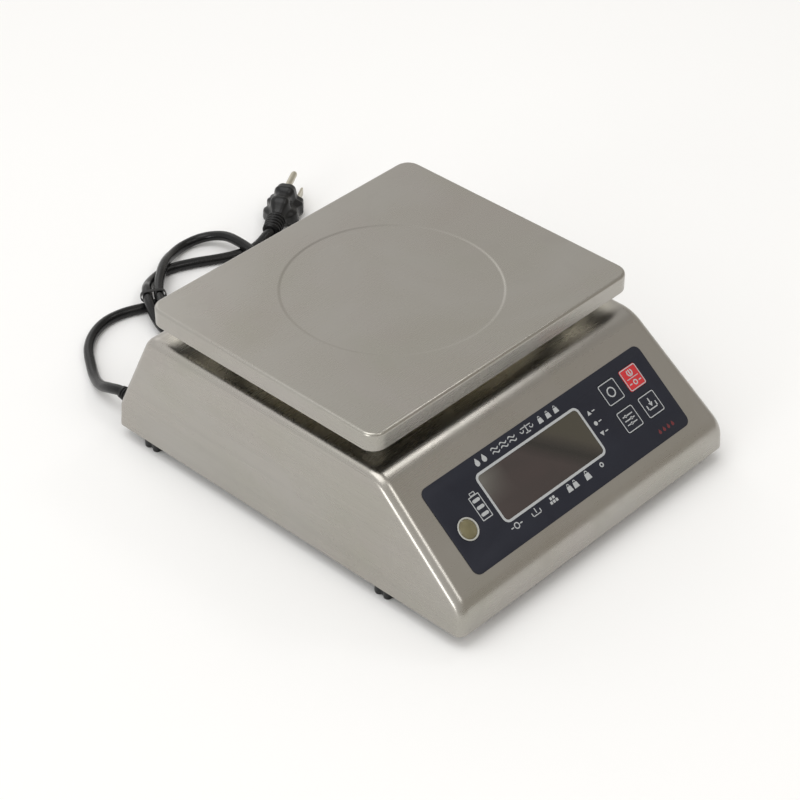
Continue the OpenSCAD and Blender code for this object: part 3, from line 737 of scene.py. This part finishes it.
def make_strain_relief():
    """Tapered, ribbed rubber sleeve around the cord where it leaves the housing."""
    profile = list(RELIEF_ROOT)
    for rib in range(RELIEF_RIBS):
        reach = 0.0030 + rib * RELIEF_RIB_STEP
        radius = 0.0053 - 0.00028 * rib
        profile += [(radius - 0.0008, reach), (radius - 0.0008, reach + 0.0004),
                    (radius - 0.0001, reach + 0.0008), (radius, reach + 0.0012),
                    (radius - 0.0001, reach + 0.0016)]
    profile += [(0.0042, 0.0122), (0.0042, 0.0127), (0.0038, 0.0130), (0.0030, 0.0130)]
    made = Shape().lathe(profile, relief_place(-1)).build("strain_relief_sleeve")
    return dress(made, "root", "black_rubber", "strain_relief")


strain_relief = make_strain_relief()

PLUG_SECTION = [(-0.010, 0), (0.010, 0), (0.0135, 0.003), (0.0135, 0.0115), (0.0085, 0.0140),
                (0.0068, 0.024), (-0.0068, 0.024), (-0.0085, 0.0140), (-0.0135, 0.0115), (-0.0135, 0.003)]
PLUG_SECTION_ROUND = [0.0025, 0.0025, 0.0030, 0.0022, 0.0030, 0.0050, 0.0050, 0.0030, 0.0022, 0.0030]
# Stations along the plug: (distance, share of the full section, share of the round neck)
PLUG_STATIONS = [(0.0125, 0.50, 1.0), (0.0150, 0.62, 0.55), (0.0175, 0.80, 0.18), (0.0200, 0.93, 0.03),
                 (0.0225, 0.985, 0), (0.0245, 0.97, 0), (0.0270, 0.925, 0), (0.0295, 0.91, 0),
                 (0.0318, 0.93, 0), (0.0332, 0.985, 0), (0.0340, 1.0, 0), (0.0350, 1.0, 0),
                 (0.0356, 0.965, 0), (0.0362, 0.93, 0), (0.0395, 0.915, 0), (0.0405, 0.89, 0),
                 (0.0410, 0.83, 0)]


def grip_dish(reach, p):
    """Share by which the finger grip is pulled in: two hollows on the upper side beside a ridge."""
    if p.y < 0.009:
        return 0
    along = math.exp(-((reach - 0.0270) / 0.0048) ** 2)
    ridge = math.exp(-(p.x / 0.0016) ** 2)
    return 0.13 * along * (1 - ridge)


def plug_place():
    """Frame of the plug: X towards its pins, Z up from the table."""
    return Matrix.Translation(PLUG_AT) @ Matrix.Rotation(PLUG_TURN, 4, "Z")


def plug_axis(reach, height):
    """Frame of a round part of the plug: Z towards its pins."""
    return plug_place() @ Matrix.Translation((reach, 0, height)) @ Matrix.Rotation(math.pi / 2, 4, "Y")


def make_plug():
    """Moulded three-pin plug: grip with pulled-in sides, and a ribbed neck."""
    section = [p for p, _ in rounded_path(PLUG_SECTION, PLUG_SECTION_ROUND, 5, closed=True)]
    middle = Vector((0, 0.011))
    place = plug_place()
    rings = []
    for reach, share, neck in PLUG_STATIONS:
        ring = []
        for p in section:
            wide = middle + (p - middle) * (share - grip_dish(reach, p))
            out = p - middle
            slim = Vector((0, PLUG_AXIS_Z)) + out.normalized() * 0.0062
            at = wide.lerp(slim, neck)
            ring.append(place @ Vector((reach, at.x, max(at.y, 0.0002))))
        rings.append(ring)
    shape = Shape().loft(rings, start=True, end=True)
    profile = [(0.0036, -0.0040), (0.0050, -0.0040), (0.0056, -0.0036)]
    for rib in range(5):
        reach, radius = -0.0030 + 0.0030 * rib, 0.0064 + 0.00022 * rib
        profile += [(radius - 0.0015, reach), (radius - 0.0003, reach + 0.0004),
                    (radius, reach + 0.0009), (radius, reach + 0.0014),
                    (radius - 0.0003, reach + 0.0019), (radius - 0.0015, reach + 0.0023)]
    profile += [(0.0056, 0.0125), (0.0056, 0.0150)]
    shape.lathe(profile, plug_axis(0, PLUG_AXIS_Z))
    made = shape.build("plug_moulding", 50)
    modify(made, "WEIGHTED_NORMAL", keep_sharp=True)
    return dress(made, "root", "black_rubber", "plug_body")


def make_pins():
    """Two flat blades with eased edges and a round earth pin with a domed tip."""
    blade_low, blade_high = 0.0037, 0.0097
    blade_middle = (blade_low + blade_high) / 2
    place = plug_place()
    shape = Shape()
    for side in (-1, 1):
        rings = []
        for reach, ease in ((-0.001, 0), (0.0155, 0), (0.0170, 0.0005), (0.0175, 0.0012)):
            outline = rounded_rect(0.0015 - ease * 0.7, blade_high - blade_low - 2 * ease, 0.0002, 2,
                                   (side * 0.00635, blade_middle))
            rings.append([place @ Vector((PLUG_FACE + reach, p.x, p.y)) for p in outline])
        shape.loft(rings, start=True, end=True)
    blades = dress(shape.build("plug_flat_pins", 40), "root", "plug_pin", "plug_blades")
    low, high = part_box("plug_earth_pin")
    profile = [(0.0024, -0.001), (0.0024, 0.0178), (0.0022, 0.0190), (0.0018, 0.0199), (0.0011, 0.0204)]
    earth = Shape().lathe(profile, plug_axis(PLUG_FACE, (low.z + high.z) / 2), 32)
    return blades, dress(earth.build("plug_round_pin", 40), "root", "plug_pin", "plug_earth_pin")


def make_ties():
    """Flat twist ties: one round the loose bundle, one round the waist of the hank."""
    shape = Shape()
    for at, turn, span, rise in (((-0.0145, 0.233, 0.0104), math.radians(-33), 0.0168, 0.0076),
                                 ((HANK_AT.x, HANK_AT.y, 0.0038), math.pi / 2, 0.055, 0.0064)):
        place = Matrix.Translation(at) @ Matrix.Rotation(turn, 4, "Z") @ Matrix.Rotation(math.pi / 2, 4, "X")
        rings = []
        for grow, along in ((0, -0.0013), (0.0005, -0.0015), (0.0011, -0.0013), (0.0012, 0),
                            (0.0011, 0.0013), (0.0005, 0.0015), (0, 0.0013), (0, 0)):
            outline = rounded_rect(span + grow, rise + grow, (rise + grow) / 2 - 0.0001, 8)
            rings.append([place @ Vector((p.x, p.y, along)) for p in outline])
        shape.loft(rings, loop=True)
    return dress(shape.build("cord_twist_ties", 50), "root", "black_rubber", "cord_ties")


plug = make_plug()
flat_pins, round_pin = make_pins()
ties = make_ties()

# ---- Housing ---------------------------------------------------------------


def half_width(z):
    """Half the housing's width at a height: its sides lean in."""
    return shell_high.x - SIDE_LEAN * (z - shell_low.z) / (TOP_Z - shell_low.z)


def fold_section():
    """Double fold along a side, as (offset from the side, distance in from the outline)."""
    first, second = Vector((-FOLD_W, 0)), Vector((0, FOLD_INSET))
    along = (second - first).normalized()
    points = []
    for corner, before, after in ((first, Vector((1, 0)), along), (second, along, Vector((0, 1)))):
        start, end = corner - before * FOLD_ROUND, corner + after * FOLD_ROUND
        for k in range(FOLD_STEPS + 1):
            t = k / FOLD_STEPS
            points.append((1 - t) ** 2 * start + 2 * t * (1 - t) * corner + t * t * end)
    return points


def slope_place():
    """Frame of the front slope: X across, Y up the slope, Z outwards, from the lip."""
    angle = math.atan2(TOP_Z - LIP_Z, SLOPE_TOP_Y - shell_low.y)
    return Matrix.Translation((0, shell_low.y, LIP_Z)) @ Matrix.Rotation(angle, 4, "X")


SLOPE = slope_place()
POSTS = [(x * POST_X, PAN_Y + y * POST_Y) for x in (-1, 1) for y in (-1, 1)]


def shell_cutters():
    """Everything that is cut out of the housing sheet."""
    shape = Shape()
    for x, y in POSTS:
        post_hole = [(COLLAR_R, TOP_Z - COLLAR_H), (COLLAR_R, TOP_Z + COLLAR_H)]
        shape.lathe(post_hole, Matrix.Translation((x, y, 0)))
    window = rounded_rect(WINDOW_SIZE[0] - 2 * WINDOW_LEDGE, WINDOW_SIZE[1] - 2 * WINDOW_LEDGE, 0.002,
                          at=WINDOW_AT)
    shape.prism(window, -CUT_REACH, CUT_REACH, SLOPE)
    shape.prism(disc(*LEVEL_AT, LEVEL_HOLE_R, 48), -CUT_REACH, CUT_REACH, SLOPE)
    for at in KEY_AT.values():
        shape.prism(rounded_rect(KEY_W + 0.001, KEY_W + 0.001, 0.002, at=at), -CUT_REACH, CUT_REACH, SLOPE)
    shape.lathe([(GLAND_HOLE_R, -CUT_REACH), (GLAND_HOLE_R, CUT_REACH)], relief_place(1))
    return shape.build("housing_cutters")


def add_collars(shape):
    """Raised rims round the post holes, flared into the top sheet."""
    outer, rim_z = COLLAR_R + SHEET, TOP_Z + COLLAR_H
    profile = [(outer + 0.0018, TOP_Z - 0.0001), (outer + 0.0009, TOP_Z + 0.0002),
               (outer + 0.0003, TOP_Z + 0.0008), (outer, TOP_Z + 0.0018), (outer, rim_z - 0.0004),
               (outer - 0.0004, rim_z), (COLLAR_R + 0.0003, rim_z), (COLLAR_R, rim_z - 0.0003),
               (COLLAR_R, TOP_Z - SHEET), (outer, TOP_Z - SHEET)]
    for x, y in POSTS:
        shape.lathe(profile, Matrix.Translation((x, y, 0)), loop=True)


def make_housing():
    """Folded and welded housing: one filleted sheet with double folds to its leaning sides."""
    corners = [(shell_low.y, shell_low.z), (shell_low.y, LIP_Z), (SLOPE_TOP_Y, TOP_Z), (REAR_TOP_Y, TOP_Z),
               (shell_high.y, REAR_LIP_Z), (shell_high.y, shell_low.z)]
    outline = rounded_path(corners, [0, LIP_ROUND, FRONT_ROUND, REAR_ROUND, REAR_LIP_ROUND, 0], BEND_STEPS)
    fold = fold_section()
    across = [(-1, p) for p in reversed(fold)] + [(1, p) for p in fold]
    rings = []
    for point, normal in outline:
        ring = []
        for side, (offset, inset) in across:
            y, z = point - normal * inset
            ring.append(Vector((side * (half_width(z) + offset), y, z)))
        rings.append(ring)
    shape = Shape().loft(rings, wrap=False)
    count = len(across)
    shape.faces.append(tuple(i * count for i in range(len(rings))))
    shape.faces.append(tuple(i * count + count - 1 for i in reversed(range(len(rings)))))
    made = shape.build("housing_sheet", 30)
    thicken(made)
    cutters = shell_cutters()
    modify(made, "BOOLEAN", object=cutters, operation="DIFFERENCE", solver="EXACT")
    settle(made)
    bpy.data.objects.remove(cutters)
    shade_sheet(made)
    dress(made, "root", "shell_steel", "housing_shell")
    collars = Shape()
    add_collars(collars)
    dress(collars.build("post_hole_collars", 40), "root", "shell_steel")


make_housing()

# ---- Weighing pan ----------------------------------------------------------


def pan_ring(inset, z):
    """Outline of the pan at a distance in from its skirt."""
    width, depth = pan_high.x - pan_low.x - 2 * inset, pan_high.y - pan_low.y - 2 * inset
    outline = rounded_rect(width, depth, PAN_CORNER - inset, 8, (0, 0), 20)
    return [Vector((p.x, p.y + PAN_Y, z)) for p in outline]


def make_pan():
    """Pressed pan: round pressing with a soft edge, bent rim and a plain skirt."""
    top = pan_high.z
    edge = pan_ring(PAN_BEND, top)
    rings = []
    for k in range(PRESSING_STEPS + 1):
        swing = math.pi * k / PRESSING_STEPS
        radius = PRESSING_R + PRESSING_EDGE * (2 * k / PRESSING_STEPS - 1)
        depth = PRESSING_DEPTH * (1 + math.cos(swing)) / 2
        ring = []
        for p in edge:
            way = Vector((p.x, p.y - PAN_Y)).normalized() * radius
            ring.append(Vector((way.x, PAN_Y + way.y, top - depth)))
        rings.append(ring)
    for k in range(RIM_STEPS + 1):
        a = math.pi / 2 * k / RIM_STEPS
        rings.append(pan_ring(PAN_BEND * (1 - math.sin(a)), top - PAN_BEND * (1 - math.cos(a))))
    rings.append(pan_ring(0, pan_low.z + 0.0004))
    rings.append(pan_ring(0.00015, pan_low.z))
    made = Shape().loft(rings, start=True).build("weighing_pan", 30)
    thicken(made)
    settle(made)
    shade_sheet(made)
    dress(made, "pan", "shell_steel", "pan")


make_pan()


def make_drip_caps():
    """Rubber umbrellas on the posts, with soft edges, from (radius, depth below the top)."""
    shape = Shape()
    section = [(POST_R, 0.0045), (POST_R, 0.0004), (0.0064, 0), (0.0083, 0), (0.0090, 0.0003),
               (0.0163, 0.0053), (0.0169, 0.0059), (CAP_R, 0.0066), (CAP_R, 0.0100), (0.0166, 0.0105),
               (0.0160, 0.0103), (0.0158, 0.0099), (0.0158, 0.0069), (0.0153, 0.0064), (0.0080, 0.0045)]
    profile = [(radius, caps_high.z - depth) for radius, depth in section]
    for x, y in POSTS:
        shape.lathe(profile, Matrix.Translation((x, y, 0)), loop=True)
    dress(shape.build("post_drip_caps", 45), "platform", "black_rubber", "drip_caps")


make_drip_caps()

# ---- Front panel -----------------------------------------------------------


def make_overlay():
    """Membrane film with its openings."""
    outlines = [rounded_rect(*OVERLAY_SIZE, OVERLAY_CORNER, 8, OVERLAY_AT),
                rounded_rect(*WINDOW_SIZE, WINDOW_CORNER, 8, WINDOW_AT),
                disc(*LEVEL_AT, LEVEL_HOLE_R - 0.0001, 48)]
    outlines += [rounded_rect(KEY_W + 0.0004, KEY_W + 0.0004, KEY_CORNER + 0.0002, 6, at)
                 for at in KEY_AT.values()]
    made = plate("keypad_film", outlines, 0.00002, OVERLAY_T, 0.00008, SLOPE)
    dress(made, "root", "overlay_film", "panel_overlay")
    size = [s - 0.0001 for s in WINDOW_SIZE]
    window = plate("display_glass", [rounded_rect(*size, WINDOW_CORNER, 8, WINDOW_AT)], 0.00002,
                   OVERLAY_T - 0.00003, 0.00008, SLOPE)
    dress(window, "root", "window_tint", "display_window")


make_overlay()


def title_row(y):
    """A row of plain symbols: drops, waves and a balance, in place of a title."""
    marks = []
    for x in (-0.0525, -0.0465):
        marks.append(drop(x, y, 0.0025))
    for x in (-0.0365, -0.0290, -0.0215):
        marks += wave(x, y + 0.0012, 0.0060) + wave(x, y - 0.0012, 0.0060)
    marks += balance(-0.0085, y)
    for x in (0.0035, 0.0105, 0.0175):
        marks += weight(x, y, 0.0042)
    return marks


def drop(x, y, size):
    """Outline of a water drop."""
    steps = 16
    points = [spoke(x, y - size * 0.25, size * 0.72, math.radians(-210 + 240 * k / steps))
              for k in range(steps + 1)]
    return points + [Vector((x, y + size * 1.15))]


def wave(x, y, length):
    """Outline of one small wave stroke."""
    line, swell, steps = 0.0004, 0.0008, 16
    spine = [(x + length * (k / steps - 0.5), y + swell * math.sin(2 * math.pi * k / steps))
             for k in range(steps + 1)]
    return [[Vector((px, py + line)) for px, py in spine]
            + [Vector((px, py - line)) for px, py in reversed(spine)]]


def balance(x, y):
    """A two-pan balance: foot, post, beam and pans."""
    marks = [bar(x, y - 0.0020, x, y + 0.0024, INK_LINE),
             bar(x - 0.0018, y - 0.0022, x + 0.0018, y - 0.0022, INK_LINE),
             bar(x - 0.0042, y + 0.0017, x + 0.0042, y + 0.0017, 0.0006)]
    return marks + [arc(x + s * 0.0042, y + 0.0005, 0.0014, 180, 360, 0.0006, 10) for s in (-1, 1)]


def weight(x, y, size):
    """A balance weight with its ring."""
    body = [Vector((x - size * 0.48, y - size * 0.55)), Vector((x + size * 0.48, y - size * 0.55)),
            Vector((x + size * 0.34, y + size * 0.22)), Vector((x - size * 0.34, y + size * 0.22))]
    return [body, arc(x, y + size * 0.34, size * 0.17, -20, 200, size * 0.11, 10)]


def battery_marks():
    """Battery outline with three charge bars."""
    x, low, high = -0.0683, 0.0370, 0.0530
    marks = frame_of(x, (low + high) / 2, 0.0085, high - low, 0.0006, 0.0006)
    marks += frame_of(x, high + 0.0010, 0.0042, 0.0022, 0.0004, 0.0005)
    for k in range(3):
        y = low + 0.0034 + 0.0046 * k
        marks.append(bar(x - 0.0020, y, x + 0.0020, y, 0.0021))
    return marks


def zero_mark(x, y, outer, inner, near, far, line):
    """A ring between two dashes."""
    ring = [disc(x, y, outer), disc(x, y, inner)]
    return ring + [bar(x + s * near, y, x + s * far, y, line) for s in (-1, 1)]


def unit_marks(y):
    """Six small symbols under the window: zero, tray, blocks, two weights, one weight and a ring."""
    zero = zero_mark(-0.0545, y, 0.0021, 0.0014, 0.0030, 0.0045, INK_LINE)
    left, middle, right, floor = -0.0410, -0.0375, -0.0340, y - 0.0018
    tray = [bar(left, y + 0.0004, left, floor, INK_LINE), bar(right, y + 0.0004, right, floor, INK_LINE),
            bar(left, floor, right, floor, INK_LINE), bar(middle, y + 0.0022, middle, y - 0.0004, INK_LINE)]
    blocks = [rounded_rect(0.0018, 0.0018, 0.0002, 2, (-0.0222 + 0.0024 * k, y + up))
              for k, up in ((-1, -0.0012), (0, -0.0012), (1, -0.0012), (-0.5, 0.0012), (0.5, 0.0012))]
    weights = weight(-0.0075, y, 0.0046) + weight(-0.0020, y, 0.0046) + weight(0.0090, y, 0.0052)
    return zero + tray + blocks + weights + [disc(0.0225, y, 0.0016), disc(0.0225, y, 0.0008)]


def arrow(x, y, size):
    """A solid arrowhead, which points down when its size is negative."""
    return [Vector((x - size, y - size * 0.7)), Vector((x + size, y - size * 0.7)), Vector((x, y + size))]


def range_marks(x):
    """Over, within and under: an arrow up, a dot and an arrow down, each with a dash."""
    up, middle, down = 0.0536, 0.0462, 0.0390
    signs = [arrow(x, up, 0.0017), disc(x, middle, 0.0014), arrow(x, down, -0.0017)]
    return signs + [bar(x + 0.0028, y, x + 0.0048, y, INK_LINE) for y in (up, middle, down)]


def make_print():
    """Everything printed in light or red ink on the film."""
    line = 0.0016
    marks = frame_of(*WINDOW_AT, WINDOW_SIZE[0] + line, WINDOW_SIZE[1] + line, WINDOW_CORNER + line / 2,
                     line)
    marks += title_row(0.0673) + battery_marks() + unit_marks(0.0240) + range_marks(0.0370)
    made = plate("film_print", marks, OVERLAY_T, OVERLAY_T + INK_T, 0, SLOPE)
    print_on(made, "root", "light_ink")
    red = [drop(x, 0.0195, 0.0016) for x in (0.0745, 0.0785, 0.0825, 0.0865)]
    print_on(plate("film_print_red", red, OVERLAY_T, OVERLAY_T + INK_T, 0, SLOPE), "root", "red_ink")


make_print()


def key_symbol(name, x, y):
    """Outlines printed on one key: a frame and its symbol."""
    marks = frame_of(x, y, KEY_W - 0.0006, KEY_W - 0.0006, KEY_CORNER - 0.0001, 0.0006)
    line = 0.0009
    if name == "key_off":
        marks += [disc(x, y, 0.0034), disc(x, y, 0.0034 - line)]
    if name == "key_on_zero":
        marks += [bar(x - 0.0048, y, x + 0.0048, y, 0.0005), bar(x, y + 0.0018, x, y + 0.0052, line),
                  arc(x, y + 0.0035, 0.0021, -235, 55, line, 16)]
        marks += zero_mark(x, y - 0.0033, 0.0018, 0.0010, 0.0034, 0.0050, 0.0008)
    if name == "key_set":
        for k, knob in enumerate((-0.0018, 0.0016, -0.0004)):
            up = y + 0.0028 - 0.0028 * k
            marks += [bar(x - 0.0042, up, x + 0.0042, up, INK_LINE),
                      disc(x + knob, up + 0.00001, 0.0010, 12)]
    if name == "key_tare":
        marks += [bar(x + s * 0.0040, y + 0.0002, x + s * 0.0040, y - 0.0028, line) for s in (-1, 1)]
        marks += [bar(x - 0.0040, y - 0.0028, x + 0.0040, y - 0.0028, line),
                  [Vector((x - 0.0018, y + 0.0012)), Vector((x, y - 0.0014)),
                   Vector((x + 0.0018, y + 0.0012))],
                  bar(x, y + 0.0040, x, y + 0.0010, line)]
    return marks


def make_keys():
    """Square keys with a soft rim, each with its printed symbol riding on it."""
    for name, (x, y) in KEY_AT.items():
        outline = rounded_rect(KEY_W, KEY_W, KEY_CORNER, 6, (x, y))
        cap = plate(name + "_cap", [outline], -KEY_UNDER, KEY_PROUD, 0.00025, SLOPE)
        slot = "key_red" if name == "key_on_zero" else "key_dark"
        dress(cap, name, slot, name)
        mark = plate(name + "_print", key_symbol(name, x, y), KEY_PROUD, KEY_PROUD + INK_T, 0, SLOPE)
        print_on(mark, name, "light_ink")


make_keys()


def make_level():
    """Round spirit level: grey cup, domed capsule of fluid, and its bubble."""
    place = SLOPE @ Matrix.Translation((*LEVEL_AT, 0))
    cup = [(LEVEL_R + reach, height) for reach, height in (
        (0.0005, -0.0090), (0.0005, 0.0005), (0.0008, 0.0005), (0.0010, 0.0007), (0.0010, 0.0010),
        (0.0008, 0.0012), (0.0003, 0.0012), (0.0001, 0.0010), (0, 0.0007), (0, -0.0080))]
    cup += [(0.0001, -0.0080), (0.0001, -0.0090)]
    dress(Shape().lathe(cup, place, loop=True).build("level_ring", 45), "root", "level_white", "level_cup")
    vial = [(LEVEL_R - 0.00005, -0.0080), (LEVEL_R - 0.00005, 0.0004), (0.0059, 0.0006), (0.0050, 0.00075),
            (0.0030, 0.00085), (0.0010, 0.0009)]
    dress(Shape().lathe(vial, place).build("level_capsule", 45), "root", "level_fluid", "level_vial")
    bubble = [(0.0008, -0.00165), (0.0018, -0.0014), (0.0022, -0.0011), (0.0018, -0.0008),
              (0.0008, -0.00066)]
    dress(Shape().lathe(bubble, place, 32).build("level_air_bubble", 60), "root", "level_air",
          "level_bubble")


make_level()

# ---- Feet ------------------------------------------------------------------

KNOB_R = 0.013
KNOB_LOBES = 9
KNOB_LOBE_R = 0.0027
KNOB_DIP = 0.0022
KNOB_STEPS = 180


def knob_radius(turn):
    """Radius of the lobed knob at an angle."""
    step = 2 * math.pi / KNOB_LOBES
    off = (turn + step / 2) % step - step / 2
    middle = KNOB_R - KNOB_LOBE_R
    inside = KNOB_LOBE_R ** 2 - (middle * math.sin(off)) ** 2
    lobe = middle * math.cos(off) + math.sqrt(inside) if inside > 0 else 0
    return max(lobe, KNOB_R - KNOB_DIP)


def make_foot(corner):
    """Lobed levelling knob with eased edges and a dished underside."""
    low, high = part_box("foot_knob_" + corner)
    stud_low, stud_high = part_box("foot_stud_" + corner)
    x, y = (stud_low.x + stud_high.x) / 2, (stud_low.y + stud_high.y) / 2
    top = high.z
    rings = []
    for inset, z in ((0.0045, 0.0007), (0.0035, 0.0001), (0.0012, 0.0), (0.0004, 0.0004), (0.0001, 0.0011),
                     (0, 0.0020), (0, top - 0.0020), (0.0001, top - 0.0011), (0.0004, top - 0.0004),
                     (0.0012, top), (0.0060, top)):
        ring = []
        for k in range(KNOB_STEPS):
            a = 2 * math.pi * k / KNOB_STEPS
            fade = max(0.0, 1 - inset / 0.006)
            radius = KNOB_R - inset - (KNOB_R - knob_radius(a)) * fade
            ring.append(Vector((*spoke(x, y, radius, a), z)))
        rings.append(ring)
    made = Shape().loft(rings, start=True, end=True).build("levelling_knob_" + corner, 45)
    dress(made, "foot_" + corner, "knob_plastic", "foot_knob_" + corner)


for corner in ("fl", "fr", "rl", "rr"):
    make_foot(corner)

# ---- CAD nodes that stay as they are ---------------------------------------


def dress_cad_nodes():
    """Every CAD node takes the finish of its slot in the record."""
    slots = {part["node"]: part["material_slot"] for part in frame["record"]["subparts"]}
    for name, node in frame["nodes"].items():
        node.data.materials.clear()
        node.data.materials.append(FINISHES[slots[name]])


dress_cad_nodes()

# ---- Studio ----------------------------------------------------------------


def make_floor():
    """Large plain pale floor."""
    shape = Shape()
    shape.points = [Vector((x, y, 0)) for x, y in ((-6, -6), (6, -6), (6, 6), (-6, 6))]
    shape.faces = [(0, 1, 2, 3)]
    floor = shape.build("floor")
    made = Finish("floor_paper", (0.93, 0.93, 0.93), 0.9)
    made.color(made.mix(made.noise(3, detail=2), (0.92, 0.92, 0.92), (0.94, 0.94, 0.94)))
    floor.data.materials.append(made.material)


def make_light(name, at, size, power):
    """Soft square light aimed at the scale."""
    data = bpy.data.lights.new(name, "AREA")
    data.shape = "SQUARE"
    data.size = size
    data.energy = power
    light = add_object(name, data)
    light.location = at
    way = Vector((0, 0, 0.05)) - Vector(at)
    light.rotation_mode = "QUATERNION"
    light.rotation_quaternion = way.to_track_quat("-Z", "Y")


def make_world(dim, bright, way, patch_way):
    """Soft surround that brightens evenly along one direction, with a dimmer patch round another."""
    world = bpy.data.worlds.new("studio")
    world.use_nodes = True
    nodes, wires = world.node_tree.nodes, world.node_tree.links
    direction = nodes.new("ShaderNodeTexCoord").outputs["Generated"]

    def ramp(towards, start, end, low, high):
        """Goes smoothly from low to high as the surround's direction nears another."""
        dot = nodes.new("ShaderNodeVectorMath")
        dot.operation = "DOT_PRODUCT"
        wires.new(direction, dot.inputs[0])
        dot.inputs[1].default_value = towards
        node = nodes.new("ShaderNodeMapRange")
        node.interpolation_type = "SMOOTHSTEP"
        wires.new(dot.outputs["Value"], node.inputs["Value"])
        for name, given in (("From Min", start), ("From Max", end), ("To Min", low), ("To Max", high)):
            node.inputs[name].default_value = given
        return node.outputs["Result"]

    tone = nodes.new("ShaderNodeMix")
    tone.data_type = "RGBA"
    wires.new(ramp(way, -1, 1, 0, 1), tone.inputs["Factor"])
    tone.inputs["A"].default_value = (*dim, 1)
    tone.inputs["B"].default_value = (*bright, 1)
    wires.new(tone.outputs["Result"], nodes["Background"].inputs["Color"])
    wires.new(ramp(patch_way, 0.86, 0.98, 1.0, 0.70), nodes["Background"].inputs["Strength"])
    bpy.context.scene.world = world


make_floor()
make_world((0.50, 0.47, 0.425), (0.93, 0.925, 0.91), (-0.65, 0.70, 0.29),
           Vector((0.59, 0.02, 0.80)).normalized())
make_light("top_softbox", (-0.8, 0.3, 2.7), 1.8, 20)
make_light("rear_softbox", (0.8, 2.4, 1.6), 1.4, 4)
make_light("left_lamp", (-2.7, -0.3, 0.6), 1.0, 12)
make_light("bend_lamp", (0.36, -0.06, 0.73), 0.15, 0.3)
make_light("front_lamp", (0.1, -1.6, 2.2), 0.7, 5)
bpy.context.scene.view_settings.view_transform = "Standard"
